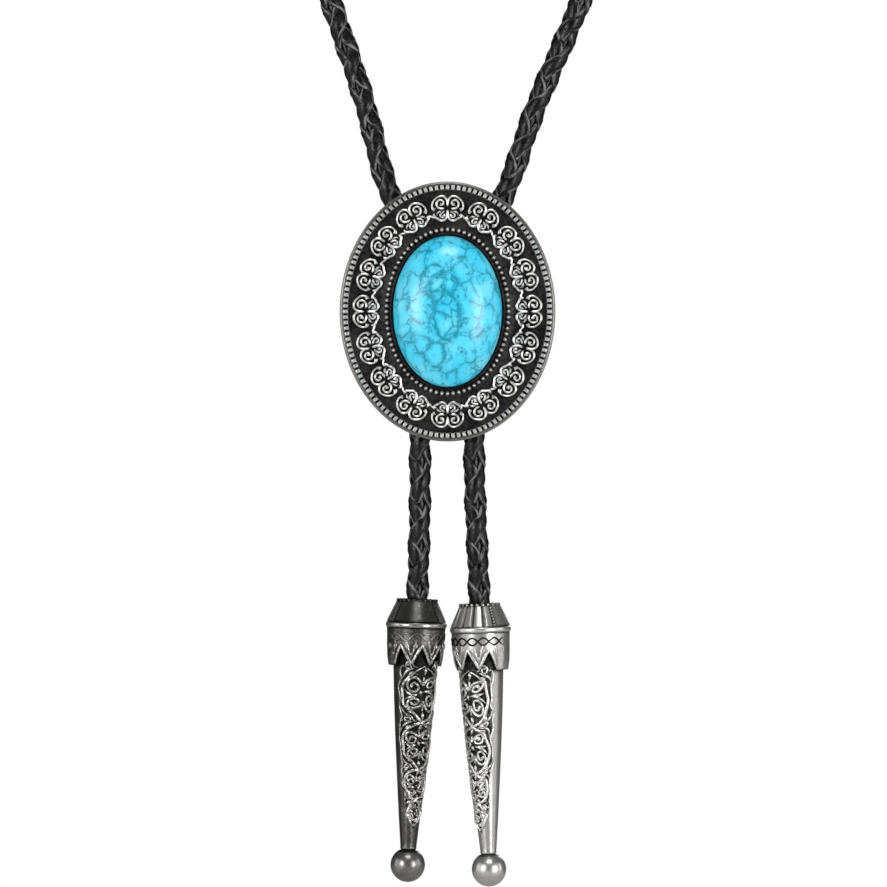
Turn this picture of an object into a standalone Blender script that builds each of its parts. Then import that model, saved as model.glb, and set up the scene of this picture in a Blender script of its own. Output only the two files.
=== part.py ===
"""Bolo tie: an oval cast slide with a domed stone, on a braided leather cord with two cast tips.

Metres, +Z up. The tie hangs as it is worn and its slide faces -Y. The origin is where the cord
rests on the nape of the neck, on the cord's inner side. Left and right are those of someone
looking at the slide. Everything is first laid out round the slide's centre, on the cord's own
plane, and the empty that carries it all then moves the nape to the origin.
"""

import math

import bmesh
import bpy
import numpy as np
from mathutils import Matrix, Vector

MM = 0.001

# Clearance that pieces keep to each other.
GAP = 0.3 * MM

# Slide plate.
PLATE_HALF_WIDTH = 21.5 * MM
PLATE_HALF_HEIGHT = 25.9 * MM
PLATE_THICKNESS = 1.6 * MM
RIM_STEP = 0.3 * MM
LIP_WIDTH = 0.4 * MM
TOOTH_LENGTH = 1.2 * MM
TOOTH_HEIGHT = 0.95 * MM
TOOTH_GROOVE_HEIGHT = 0.45 * MM
TOOTH_CREST = 0.4
TOOTH_COUNT = 128

# Stone and the bezel round it.
STONE_HALF_WIDTH = 11.0 * MM
STONE_HALF_HEIGHT = 15.2 * MM
STONE_HEIGHT = 7.0 * MM
STONE_GIRDLE = 1.4 * MM
STONE_SIDES = 36
BEZEL_WALL = 0.35 * MM
BEZEL_HEIGHT = 1.3 * MM
SEAT_DEPTH = 0.4 * MM
BEAD_WIDTH = 0.9 * MM
BEAD_HEIGHT = 0.75 * MM
BEAD_GROOVE_HEIGHT = 0.2 * MM
BEAD_COUNT = 80

# Rosettes on the sunk field.
ROSETTE_COUNT = 16
ROSETTE_HEIGHT = 0.55 * MM
ROSETTE_OUTER_MARGIN = 1.0 * MM
ROSETTE_INNER_MARGIN = 1.3 * MM
ROSETTE_SPACING = 1.0 * MM
ROSETTE_NOTCH = 0.28
ROSETTE_NOTCH_SHARPNESS = 1.5
ROSETTE_SIDES = 16
LINK_HALF_WIDTH = 0.28 * MM
LINK_WIDE_SHARE = 0.4
LINK_TOP_SHARE = 0.6
LINK_HEIGHT = 0.4 * MM
LINK_CLEARANCE = 0.15 * MM

# Cord, and the clasp that it runs through.
CORD_RADIUS = 2.4 * MM
CORD_POINT_SPACING = 12.0 * MM
CHANNEL_OFFSET = 5.4 * MM
CLIP_WALL = 0.9 * MM
CLIP_SIDE_WALL = 1.2 * MM
CLIP_ABOVE = 6.0 * MM
CLIP_BELOW = 8.0 * MM
CLIP_ROUNDING = 0.5 * MM
CHANNEL_SIDES = 16

# Tips.
SOCKET_DEPTH = 8.0 * MM
CAP_WALL = 1.2 * MM
CAP_HEIGHT = 4.6 * MM
FLUTE_DEPTH = 0.45 * MM
FLUTE_CREST_SHARE = 0.35
CAP_PLAIN_SHARE = 0.3
TIP_RING_RADIUS = 6.1 * MM
TIP_RING_HEIGHT = 1.3 * MM
RING_FLAT_SHARE = 0.4
RING_LEDGE = 0.2 * MM
BAND_TOP_RADIUS = 5.85 * MM
BAND_HEIGHT = 3.5 * MM
LEAF_COUNT = 9
LEAF_LENGTH = 4.2 * MM
LEAF_TIP_RADIUS = 5.15 * MM
LEAF_ROOT_SHARE = 0.4
SHAFT_TOP_RADIUS = 4.3 * MM
SHAFT_LENGTH = 36.6 * MM
NECK_RADIUS = 1.55 * MM
BALL_RADIUS = 3.45 * MM
BALL_RINGS = 5
SCROLL_HEIGHT = 0.35 * MM
SCROLL_WIDTH = 0.7 * MM
SCROLL_SINK = 0.25 * MM
SCROLL_FIELD_HALF_ANGLE = math.radians(58)
SCROLL_FIELD_SHARE = 0.88
SCROLL_CURL = 0.7
STEM_SWING = 0.5
STEM_NARROWING = 0.4
STEM_WAVES = 3.0
STEM_START = 0.02

# Where each tip's mouth hangs below the slide's centre, its outward lean and how it is turned.
TIP_LEAN = math.radians(2.05)
LEFT_MOUTH_ACROSS = 6.05 * MM
LEFT_MOUTH_BELOW = 57.4 * MM
RIGHT_MOUTH_ACROSS = 6.40 * MM
RIGHT_MOUTH_BELOW = 58.3 * MM
LEFT_TURN = math.radians(21)
RIGHT_TURN = math.radians(-37)
LEFT_CAP_TURN = math.radians(-25)
RIGHT_CAP_TURN = math.radians(110)
TAIL_LEAD = 6.0 * MM

# The cord's route round the neck, from the clasp's left channel to its right one, without the
# straight stretches inside the clasp: millimetres across, back and up from the slide's centre.
NECK_ROUTE = [
    (-5.9, 0.0, 10.0), (-11.6, 0.0, 24.0), (-15.6, 0.0, 38.4), (-20.1, 0.0, 52.8),
    (-25.3, 0.2, 67.5), (-38.0, 1.6, 100.0), (-52.0, 6.5, 143.0), (-63.0, 17.5, 185.0),
    (-69.3, 37.0, 225.0), (-68.7, 65.0, 256.0), (-57.0, 93.0, 277.0), (-37.0, 114.5, 289.0),
    (0.0, 125.5, 294.0),
    (37.0, 114.5, 289.0), (57.0, 93.0, 277.0), (68.7, 65.0, 256.0), (69.3, 37.0, 225.0),
    (64.0, 17.5, 185.0), (54.0, 6.5, 143.0), (41.0, 1.6, 100.0), (28.8, 0.2, 67.5),
    (22.7, 0.0, 52.8), (16.7, 0.0, 38.4), (11.6, 0.0, 24.0), (5.9, 0.0, 10.0),
]

# The two tails' own points between the clasp and the tips.
LEFT_TAIL_ROUTE = [(-5.5, 0.0, -22.0), (-5.5, 0.0, -36.0)]
RIGHT_TAIL_ROUTE = [(5.3, 0.0, -22.0), (5.5, 0.0, -36.0)]

# Lengths that follow from those above.
CHANNEL_RADIUS = CORD_RADIUS + GAP
PLATE_BACK = CHANNEL_RADIUS + CLIP_WALL + GAP
FIELD_FRONT = PLATE_BACK + PLATE_THICKNESS
SEAT_HALF_WIDTH = STONE_HALF_WIDTH + GAP
SEAT_HALF_HEIGHT = STONE_HALF_HEIGHT + GAP
CAP_TOP_RADIUS = CHANNEL_RADIUS + CAP_WALL
LEFT_MOUTH = Vector((-LEFT_MOUTH_ACROSS, 0, -LEFT_MOUTH_BELOW))
RIGHT_MOUTH = Vector((RIGHT_MOUTH_ACROSS, 0, -RIGHT_MOUTH_BELOW))

# Rosette sections from the edge inwards: share of the outline, then the share of the relief
# height along the axes, between them and the lobes' middles, and along the diagonals.
ROSETTE_SECTIONS = [
    # share, axis, between, diagonal
    (1.00, 0.0, 0.0, 0.0),
    (0.92, 1.0, 1.0, 1.0),
    (0.79, 1.0, 1.0, 1.0),
    (0.67, 1.0, 0.2, 0.2),
    (0.52, 1.0, 0.2, 1.0),
    (0.36, 1.0, 0.2, 0.2),
    (0.17, 0.9, 0.6, 0.3),
]

# Stone dome: share of the girdle's half sizes, share of the height above the girdle.
STONE_SECTIONS = [(0.97, 0.20), (0.88, 0.46), (0.72, 0.70), (0.50, 0.88), (0.24, 0.98)]

# Shaft taper: share of its length, share of the way from its top radius to its neck.
SHAFT_SECTIONS = [(0.18, 0.13), (0.38, 0.31), (0.60, 0.54), (0.82, 0.78), (1.0, 1.0)]

# Scroll relief on the shaft: each row is a spiral, with its place as a share of the field's
# length and of its half angle, its size as a share of the shaft's top radius, and its turns and
# starting angle in degrees.
SCROLLS = [
    # along, across, size, turns, start
    (0.08, -0.45, 0.35, -1.1, 60),
    (0.20, 0.48, 0.37, 1.1, 120),
    (0.36, -0.42, 0.37, -1.1, 60),
    (0.52, 0.45, 0.35, 1.1, 120),
    (0.68, -0.40, 0.30, -1.1, 60),
    (0.83, 0.35, 0.23, 1.1, 120),
]
SCROLL_POINTS = 11
STEM_POINTS = 24


def clear_scene():
    """Removes what the file opened with."""
    for item in list(bpy.data.objects):
        bpy.data.objects.remove(item, do_unlink=True)


def material(name, color, roughness, metallic):
    """A plain Principled material."""
    made = bpy.data.materials.new(name)
    made.use_nodes = True
    shader = made.node_tree.nodes["Principled BSDF"]
    shader.inputs["Base Color"].default_value = (*color, 1)
    shader.inputs["Roughness"].default_value = roughness
    shader.inputs["Metallic"].default_value = metallic
    made.diffuse_color = (*color, 1)
    return made


def finished(bm, name, look, parent, smooth_below=35):
    """Turns a bmesh into an object with its faces outward, hung under the parent."""
    bmesh.ops.recalc_face_normals(bm, faces=bm.faces)
    mesh = bpy.data.meshes.new(name)
    bm.to_mesh(mesh)
    bm.free()
    mesh.materials.append(look)
    mesh.shade_smooth()
    mesh.set_sharp_from_angle(angle=math.radians(smooth_below))
    made = bpy.data.objects.new(name, mesh)
    bpy.context.scene.collection.objects.link(made)
    made.parent = parent
    return made


def ring(bm, points):
    """A loop of new vertices."""
    return [bm.verts.new(point) for point in points]


def skin(bm, rings):
    """Joins each loop of vertices to the next with a band of faces."""
    for near, far in zip(rings, rings[1:]):
        for i in range(len(near)):
            bm.faces.new((near[i - 1], near[i], far[i], far[i - 1]))


def loop_edges(bm, loop):
    """The edges round a loop of vertices."""
    return [bm.edges.get((loop[i - 1], loop[i])) for i in range(len(loop))]


def close(bm, loop, point=None):
    """Closes a loop with one flat face, or with a fan to a point."""
    face = bm.faces.new(loop)
    if point is not None:
        tip = bmesh.ops.poke(bm, faces=[face])["verts"][0]
        tip.co = point


def oval_angles(half_width, half_height, count):
    """Angles at which count points lie evenly spaced along an oval's edge."""
    angles = np.linspace(0, 2 * math.pi, 2881)
    steps = np.hypot(np.diff(half_width * np.cos(angles)), np.diff(half_height * np.sin(angles)))
    run = np.concatenate([[0], np.cumsum(steps)])
    return np.interp(np.arange(count) * run[-1] / count, run, angles)


def oval(half_width, half_height, angles, fronts):
    """Points of an oval in the XZ plane, each at its own distance in front of the cord's plane."""
    fronts = np.broadcast_to(fronts, len(angles))
    return [
        Vector((half_width * math.cos(angle), -front, half_height * math.sin(angle)))
        for angle, front in zip(angles, fronts)
    ]


def raised_patch(bm, centre, across, outward, outline, sections):
    """A closed patch of relief on the field: the outline's loops, one for each section.

    The outline is a list of (across, outward) lengths. Each section is a share of the outline
    and one height for each of its points. Returns the lowest loop.
    """
    rings = []
    for share, heights in sections:
        points = [
            centre + across * u * share + outward * v * share + Vector((0, -height, 0))
            for (u, v), height in zip(outline, heights)
        ]
        rings.append(ring(bm, points))
    skin(bm, rings)
    close(bm, rings[-1], centre + Vector((0, -max(sections[-1][1]), 0)))
    return rings[0]


def rosette_outline(half_width, half_height):
    """A quatrefoil: full at the four diagonals and notched on the two axes."""
    def lobed(angle):
        return 1 - ROSETTE_NOTCH * abs(math.cos(2 * angle)) ** ROSETTE_NOTCH_SHARPNESS

    quarter = np.linspace(0, math.pi / 2, 33)
    widest = max(lobed(angle) * math.cos(angle) for angle in quarter)
    outline = []
    for step in range(ROSETTE_SIDES):
        angle = 2 * math.pi * step / ROSETTE_SIDES
        reach = lobed(angle) / widest
        outline.append((half_width * reach * math.cos(angle), half_height * reach * math.sin(angle)))
    return outline


def rosette_sections():
    """Heights of the rosette's loops: axes, diagonals and the steps between them in turn."""
    sections = []
    for share, axis, between, diagonal in ROSETTE_SECTIONS:
        quarter = (axis, between, diagonal, between)
        heights = [ROSETTE_HEIGHT * quarter[step % len(quarter)] for step in range(ROSETTE_SIDES)]
        sections.append((share, heights))
    return sections


def link_sections(half_length):
    """The outline of the short bar between two rosettes, and its two loops."""
    wide = LINK_WIDE_SHARE * half_length
    outline = [(half_length, 0), (wide, LINK_HALF_WIDTH), (-wide, LINK_HALF_WIDTH)]
    outline += [(-u, -v) for u, v in outline]
    flat = [0] * len(outline)
    top = [LINK_HEIGHT] * len(outline)
    return outline, [(1.0, flat), (LINK_TOP_SHARE, top)]


def build_concho(look, parent):
    """The cast plate: flat back, milled edge, field with rosettes, beading, bezel and seat."""
    bm = bmesh.new()
    teeth = oval_angles(PLATE_HALF_WIDTH, PLATE_HALF_HEIGHT, 2 * TOOTH_COUNT)
    ridges = np.where(np.arange(2 * TOOTH_COUNT) % 2 == 0, TOOTH_HEIGHT, TOOTH_GROOVE_HEIGHT)
    inner_edge = LIP_WIDTH + TOOTH_LENGTH

    def edge_ring(inset, fronts):
        return ring(bm, oval(PLATE_HALF_WIDTH - inset, PLATE_HALF_HEIGHT - inset, teeth, fronts))

    outside = [
        edge_ring(0, PLATE_BACK),
        edge_ring(0, FIELD_FRONT + RIM_STEP),
        edge_ring(LIP_WIDTH + TOOTH_LENGTH * TOOTH_CREST, FIELD_FRONT + ridges),
        edge_ring(inner_edge, FIELD_FRONT),
    ]
    close(bm, outside[0])
    skin(bm, outside)

    beads = oval_angles(SEAT_HALF_WIDTH, SEAT_HALF_HEIGHT, 2 * BEAD_COUNT)
    knobs = np.where(np.arange(2 * BEAD_COUNT) % 2 == 0, BEAD_HEIGHT, BEAD_GROOVE_HEIGHT)

    def seat_ring(outset, fronts):
        return ring(bm, oval(SEAT_HALF_WIDTH + outset, SEAT_HALF_HEIGHT + outset, beads, fronts))

    inside = [
        seat_ring(BEZEL_WALL + BEAD_WIDTH, FIELD_FRONT),
        seat_ring(BEZEL_WALL + BEAD_WIDTH / 2, FIELD_FRONT + knobs),
        seat_ring(BEZEL_WALL, FIELD_FRONT + BEAD_GROOVE_HEIGHT / 2),
        seat_ring(BEZEL_WALL, FIELD_FRONT + BEZEL_HEIGHT),
        seat_ring(0, FIELD_FRONT + BEZEL_HEIGHT),
        seat_ring(0, FIELD_FRONT - SEAT_DEPTH),
    ]
    skin(bm, inside)
    close(bm, inside[-1])

    field_edges = loop_edges(bm, outside[-1]) + loop_edges(bm, inside[0])
    outer_half = (PLATE_HALF_WIDTH - inner_edge, PLATE_HALF_HEIGHT - inner_edge)
    inner_half = (SEAT_HALF_WIDTH + BEZEL_WALL + BEAD_WIDTH, SEAT_HALF_HEIGHT + BEZEL_WALL + BEAD_WIDTH)
    middle_half = [
        (outer - ROSETTE_OUTER_MARGIN + inner + ROSETTE_INNER_MARGIN) / 2
        for outer, inner in zip(outer_half, inner_half)
    ]
    field_width = min(outer - inner for outer, inner in zip(outer_half, inner_half))
    rosette_width = field_width - ROSETTE_OUTER_MARGIN - ROSETTE_INNER_MARGIN
    places = oval_angles(*middle_half, 4 * ROSETTE_COUNT)
    edge = oval(*middle_half, places, FIELD_FRONT)
    pitch = (edge[4] - edge[0]).length
    foil = rosette_outline((pitch - ROSETTE_SPACING) / 2, rosette_width / 2)
    link, link_loops = link_sections(pitch / 2 - foil[0][0] - LINK_CLEARANCE)
    for step in range(ROSETTE_COUNT):
        for start, outline, sections in (
            (4 * step, foil, rosette_sections()),
            (4 * step + 2, link, link_loops),
        ):
            here = edge[start]
            across = (edge[(start + 1) % len(edge)] - edge[start - 1]).normalized()
            outward = Vector((across.z, 0, -across.x))
            patch = raised_patch(bm, here, across, outward, outline, sections)
            field_edges += loop_edges(bm, patch)
    bmesh.ops.triangle_fill(bm, use_beauty=True, edges=field_edges, normal=(0, -1, 0))
    return finished(bm, "concho", look, parent)


def build_stone(look, parent):
    """The domed oval stone, its flat back a gap above the seat."""
    bm = bmesh.new()
    base = FIELD_FRONT - SEAT_DEPTH + GAP
    angles = oval_angles(STONE_HALF_WIDTH, STONE_HALF_HEIGHT, STONE_SIDES)
    dome = STONE_HEIGHT - STONE_GIRDLE
    loops = [(1, base), (1, base + STONE_GIRDLE)]
    loops += [(share, base + STONE_GIRDLE + rise * dome) for share, rise in STONE_SECTIONS]
    rings = [
        ring(bm, oval(STONE_HALF_WIDTH * share, STONE_HALF_HEIGHT * share, angles, front))
        for share, front in loops
    ]
    close(bm, rings[0])
    skin(bm, rings)
    close(bm, rings[-1], Vector((0, -(base + STONE_HEIGHT), 0)))
    return finished(bm, "cabochon", look, parent)


def build_clip(look, parent):
    """The plain clasp: a rounded block behind the plate with a channel for each cord."""
    half_width = CHANNEL_OFFSET + CHANNEL_RADIUS + CLIP_SIDE_WALL
    half_depth = CHANNEL_RADIUS + CLIP_WALL
    height = CLIP_ABOVE + CLIP_BELOW
    bm = bmesh.new()
    bmesh.ops.create_cube(bm, size=1)
    bmesh.ops.scale(bm, vec=(2 * half_width, 2 * half_depth, height), verts=bm.verts)
    bmesh.ops.translate(bm, vec=(0, 0, (CLIP_ABOVE - CLIP_BELOW) / 2), verts=bm.verts)
    clip = finished(bm, "slide_clip", look, parent)
    rounding = clip.modifiers.new("rounding", "BEVEL")
    rounding.width = CLIP_ROUNDING
    rounding.segments = 2
    for side, label in ((-1, "left"), (1, "right")):
        bm = bmesh.new()
        turn = Matrix.Rotation(math.pi / CHANNEL_SIDES, 4, "Z")
        place = Matrix.Translation((side * CHANNEL_OFFSET, 0, (CLIP_ABOVE - CLIP_BELOW) / 2))
        radius = CHANNEL_RADIUS / math.cos(math.pi / CHANNEL_SIDES)
        bmesh.ops.create_cone(
            bm, cap_ends=True, segments=CHANNEL_SIDES, radius1=radius, radius2=radius,
            depth=height + 4 * CLIP_ROUNDING, matrix=place @ turn,
        )
        cutter = finished(bm, label + "_channel", look, parent)
        cutter.hide_render = True
        cutter.display_type = "WIRE"
        cut = clip.modifiers.new(label + " channel", "BOOLEAN")
        cut.operation = "DIFFERENCE"
        cut.object = cutter
    return clip


def smooth_route(points, spacing):
    """Evenly spaced points on the natural cubic spline through the route's own points."""
    knots = np.array([tuple(point) for point in points])
    count = len(knots)
    run = np.concatenate([[0], np.cumsum(np.linalg.norm(np.diff(knots, axis=0), axis=1))])
    steps = np.diff(run)
    slopes = np.diff(knots, axis=0) / steps[:, None]
    system = np.eye(count)
    wanted = np.zeros_like(knots)
    for i in range(1, count - 1):
        system[i, i - 1 : i + 2] = steps[i - 1], 2 * (steps[i - 1] + steps[i]), steps[i]
        wanted[i] = 6 * (slopes[i] - slopes[i - 1])
    bends = np.linalg.solve(system, wanted)

    def at(place):
        i = min(int(np.searchsorted(run, place, side="right")) - 1, count - 2)
        a, b, h = run[i + 1] - place, place - run[i], steps[i]
        return (
            bends[i] * a**3 / (6 * h) + bends[i + 1] * b**3 / (6 * h)
            + (knots[i] / h - bends[i] * h / 6) * a + (knots[i + 1] / h - bends[i + 1] * h / 6) * b
        )

    fine = np.array([at(place) for place in np.linspace(0, run[-1], 1500)])
    along = np.concatenate([[0], np.cumsum(np.linalg.norm(np.diff(fine, axis=0), axis=1))])
    places = np.linspace(0, along[-1], round(along[-1] / spacing) + 1)
    return [Vector([np.interp(place, along, fine[:, k]) for k in range(3)]) for place in places]


def build_cord(name, route, look, parent):
    """A plain round tube: straight at its two held ends, and between them on a smooth curve."""
    points = [route[0]] + smooth_route(route[1:-1], CORD_POINT_SPACING) + [route[-1]]
    curve = bpy.data.curves.new(name, "CURVE")
    curve.dimensions = "3D"
    curve.bevel_depth = CORD_RADIUS
    curve.bevel_resolution = 2
    curve.use_fill_caps = True
    spline = curve.splines.new("POLY")
    spline.points.add(len(points) - 1)
    for target, point in zip(spline.points, points):
        target.co = (*point, 1)
    curve.materials.append(look)
    cord = bpy.data.objects.new(name, curve)
    bpy.context.scene.collection.objects.link(cord)
    cord.parent = parent
    return cord


def neck_route():
    """The whole way round the neck, with the straight stretch inside each channel."""
    left = [Vector((-CHANNEL_OFFSET, 0, z)) for z in (GAP / 2, CLIP_ABOVE)]
    right = [Vector((CHANNEL_OFFSET, 0, z)) for z in (CLIP_ABOVE, GAP / 2)]
    return left + [Vector(point) * MM for point in NECK_ROUTE] + right


def tail_route(side, points, mouth):
    """A tail from inside the clasp into the tip's socket, in line with the tip at its end."""
    down = Vector((side * math.sin(TIP_LEAN), 0, -math.cos(TIP_LEAN)))
    start = [Vector((side * CHANNEL_OFFSET, 0, z)) for z in (-GAP / 2, -CLIP_BELOW)]
    seated = mouth + down * (SOCKET_DEPTH - GAP)
    return start + [Vector(point) * MM for point in points] + [mouth - down * TAIL_LEAD, mouth, seated]


def tip_radius(depth):
    """The shaft's radius at a depth below the leaves' ends."""
    shares = [0.0] + [share for share, _ in SHAFT_SECTIONS]
    drops = [0.0] + [drop for _, drop in SHAFT_SECTIONS]
    drop = float(np.interp(depth / SHAFT_LENGTH, shares, drops))
    return SHAFT_TOP_RADIUS + (NECK_RADIUS - SHAFT_TOP_RADIUS) * drop


def build_tip(name, mouth, side, turn, cap_turn, look, parent):
    """One cast tip, hung by its mouth: the relief is raised, the socket is open."""
    bm = bmesh.new()
    sides = 4 * LEAF_COUNT
    steps = np.arange(sides)
    angles = 2 * math.pi * steps / sides

    def loop(radii, depths):
        radii = np.broadcast_to(radii, sides)
        depths = np.broadcast_to(depths, sides)
        return ring(bm, [
            Vector((radius * math.sin(angle), -radius * math.cos(angle), -depth))
            for radius, angle, depth in zip(radii, angles, depths)
        ])

    cap_angle = (angles - cap_turn) / (2 * math.pi) % 1
    fluted = (cap_angle > CAP_PLAIN_SHARE / 2) & (cap_angle < 1 - CAP_PLAIN_SHARE / 2)
    flutes = np.where(fluted, np.where(steps % 2 == 0, FLUTE_CREST_SHARE, 1) * FLUTE_DEPTH, 0)
    ring_top = CAP_HEIGHT
    band_top = ring_top + TIP_RING_HEIGHT
    leaf_top = band_top + BAND_HEIGHT
    leaf_end = leaf_top + LEAF_LENGTH
    leaf_share = np.array([1.0, 0.5, 0.0, 0.5])[steps % 4]
    leaf_slope = LEAF_ROOT_SHARE + (1 - LEAF_ROOT_SHARE) * leaf_share
    leaf_radii = BAND_TOP_RADIUS + (LEAF_TIP_RADIUS - BAND_TOP_RADIUS) * leaf_slope
    ring_slope = (1 - RING_FLAT_SHARE) / 2 * TIP_RING_HEIGHT
    ball_centre = leaf_end + SHAFT_LENGTH + math.sqrt(BALL_RADIUS**2 - NECK_RADIUS**2)
    first = math.asin(NECK_RADIUS / BALL_RADIUS)
    rings = [
        loop(CHANNEL_RADIUS / math.cos(math.pi / sides), SOCKET_DEPTH),
        loop(CHANNEL_RADIUS / math.cos(math.pi / sides), 0),
        loop(CAP_TOP_RADIUS - flutes, 0),
        loop(TIP_RING_RADIUS - 2 * RING_LEDGE - flutes, ring_top),
        loop(TIP_RING_RADIUS - RING_LEDGE, ring_top),
        loop(TIP_RING_RADIUS, ring_top + ring_slope),
        loop(TIP_RING_RADIUS, band_top - ring_slope),
        loop(BAND_TOP_RADIUS, band_top),
        loop(leaf_radii, leaf_top + LEAF_LENGTH * leaf_share),
        loop(SHAFT_TOP_RADIUS, leaf_top + LEAF_LENGTH * leaf_share),
        loop(SHAFT_TOP_RADIUS, leaf_end + GAP),
    ]
    for share, _ in SHAFT_SECTIONS:
        rings.append(loop(tip_radius(share * SHAFT_LENGTH), leaf_end + share * SHAFT_LENGTH))
    for step in range(1, BALL_RINGS + 1):
        polar = first + (math.pi - first) * step / (BALL_RINGS + 1)
        rings.append(loop(BALL_RADIUS * math.sin(polar), ball_centre - BALL_RADIUS * math.cos(polar)))
    close(bm, rings[0])
    skin(bm, rings)
    close(bm, rings[-1], Vector((0, 0, -(ball_centre + BALL_RADIUS))))
    tip = finished(bm, name, look, parent)
    tip.rotation_mode = "ZYX"
    tip.rotation_euler = (0, -side * TIP_LEAN, turn)
    tip.location = mouth
    for relief in build_scrolls(name, leaf_end, look, tip):
        union = tip.modifiers.new(relief.name, "BOOLEAN")
        union.operation = "UNION"
        union.object = relief
    return tip


def build_scrolls(name, leaf_end, look, parent):
    """The vine on the shaft's front: a waving stem and a spiral in each of its bends."""
    field = SHAFT_LENGTH * SCROLL_FIELD_SHARE
    ribs = []

    def on_shaft(depth, angle, lift):
        radius = tip_radius(depth) + lift
        return Vector((radius * math.sin(angle), -radius * math.cos(angle), -(leaf_end + depth)))

    def ridge(path):
        """A three-cornered rib along (depth, angle) points, its foot sunk in the shaft."""
        bm = bmesh.new()
        rings = []
        for i, (depth, angle) in enumerate(path):
            before = on_shaft(*path[max(i - 1, 0)], 0)
            after = on_shaft(*path[min(i + 1, len(path) - 1)], 0)
            here = on_shaft(depth, angle, 0)
            out = on_shaft(depth, angle, 1) - here
            aside = (after - before).cross(out).normalized() * SCROLL_WIDTH / 2
            foot = here - out * SCROLL_SINK
            rings.append(ring(bm, [foot + aside, here + out * SCROLL_HEIGHT, foot - aside]))
        skin(bm, rings)
        close(bm, rings[0])
        close(bm, rings[-1])
        rib = finished(bm, f"{name}_rib_{len(ribs)}", look, parent)
        rib.hide_render = True
        rib.display_type = "WIRE"
        ribs.append(rib)

    stem = []
    for share in np.linspace(STEM_START, 1, STEM_POINTS):
        swing = STEM_SWING * math.cos(2 * math.pi * STEM_WAVES * share) * (1 - STEM_NARROWING * share)
        stem.append((share * field, swing * SCROLL_FIELD_HALF_ANGLE))
    ridge(stem)
    for along, across, size, turns, start in SCROLLS:
        spiral = []
        for share in np.linspace(0, 1, SCROLL_POINTS):
            swept = math.radians(start) + 2 * math.pi * turns * share
            reach = size * SHAFT_TOP_RADIUS * (1 - SCROLL_CURL * share)
            depth = along * field + reach * math.cos(swept)
            radius = tip_radius(depth)
            spiral.append((depth, across * SCROLL_FIELD_HALF_ANGLE + reach * math.sin(swept) / radius))
        ridge(spiral)
    return ribs


def main():
    clear_scene()
    silver = material("cast silver", (0.50, 0.49, 0.47), 0.32, 1.0)
    turquoise = material("turquoise", (0.09, 0.60, 0.80), 0.18, 0.0)
    steel = material("plated steel", (0.55, 0.55, 0.55), 0.30, 1.0)
    leather = material("black leather", (0.02, 0.02, 0.02), 0.45, 0.0)

    nape = Vector(NECK_ROUTE[len(NECK_ROUTE) // 2]) * MM
    centre = bpy.data.objects.new("slide centre", None)
    bpy.context.scene.collection.objects.link(centre)
    centre.location = Vector((0, CORD_RADIUS, 0)) - nape

    build_concho(silver, centre)
    build_stone(turquoise, centre)
    build_clip(steel, centre)
    build_cord("neck_cord", neck_route(), leather, centre)
    build_cord("left_tail", tail_route(-1, LEFT_TAIL_ROUTE, LEFT_MOUTH), leather, centre)
    build_cord("right_tail", tail_route(1, RIGHT_TAIL_ROUTE, RIGHT_MOUTH), leather, centre)
    build_tip("left_tip", LEFT_MOUTH, -1, LEFT_TURN, LEFT_CAP_TURN, silver, centre)
    build_tip("right_tip", RIGHT_MOUTH, 1, RIGHT_TURN, RIGHT_CAP_TURN, silver, centre)


main()
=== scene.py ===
"""Bolo tie: an oval cast slide with a domed stone, on a braided cord with two long cast tips.

Metres, +Z up, the slide facing -Y. Left and right are those of someone looking at the slide.
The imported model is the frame. This script puts the finely made pieces in its place: the slide's
plate with its teeth, beads and scroll work, the veined stone, the braid of leather laces, and
the tips with their flutes, leaves and vine.
"""

import sys

import logging
import math
from collections.abc import Callable, Sequence
from dataclasses import dataclass, field
from enum import Enum
from typing import Any

import bmesh
import bpy
import numpy as np
from bmesh.types import BMEdge, BMesh, BMVert
from mathutils import Matrix, Vector


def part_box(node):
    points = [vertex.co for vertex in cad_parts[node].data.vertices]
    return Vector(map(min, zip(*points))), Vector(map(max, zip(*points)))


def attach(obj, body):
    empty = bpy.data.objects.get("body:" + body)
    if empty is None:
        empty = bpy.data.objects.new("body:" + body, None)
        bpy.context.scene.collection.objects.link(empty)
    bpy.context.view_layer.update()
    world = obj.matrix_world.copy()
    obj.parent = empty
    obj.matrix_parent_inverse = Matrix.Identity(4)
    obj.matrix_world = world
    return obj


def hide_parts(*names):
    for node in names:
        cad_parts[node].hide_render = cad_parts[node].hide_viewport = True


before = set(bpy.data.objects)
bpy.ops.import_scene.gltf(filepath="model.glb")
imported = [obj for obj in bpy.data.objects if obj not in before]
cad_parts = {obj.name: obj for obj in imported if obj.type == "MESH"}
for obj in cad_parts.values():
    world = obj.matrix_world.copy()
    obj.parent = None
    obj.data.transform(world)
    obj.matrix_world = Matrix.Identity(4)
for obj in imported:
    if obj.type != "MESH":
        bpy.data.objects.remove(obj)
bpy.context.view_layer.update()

MM = 0.001
BODY = "root"
POLISH = "polish"
ACROSS = "across"
ALONG = "along"
OVAL_STEPS = 2881
SPLINE_STEPS = 4000

Color = tuple[float, float, float]
Spot = tuple[float, float, float]
Flat = tuple[float, float]
Ground = Callable[[float, float], tuple[Vector, Vector]]
Taper = Callable[[float], float]
Socket = bpy.types.NodeSocket

log = logging.getLogger("bolo_tie")


class Side(Enum):
    """Which of the two tails or tips, as seen by someone looking at the slide."""

    LEFT = -1
    RIGHT = 1


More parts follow.
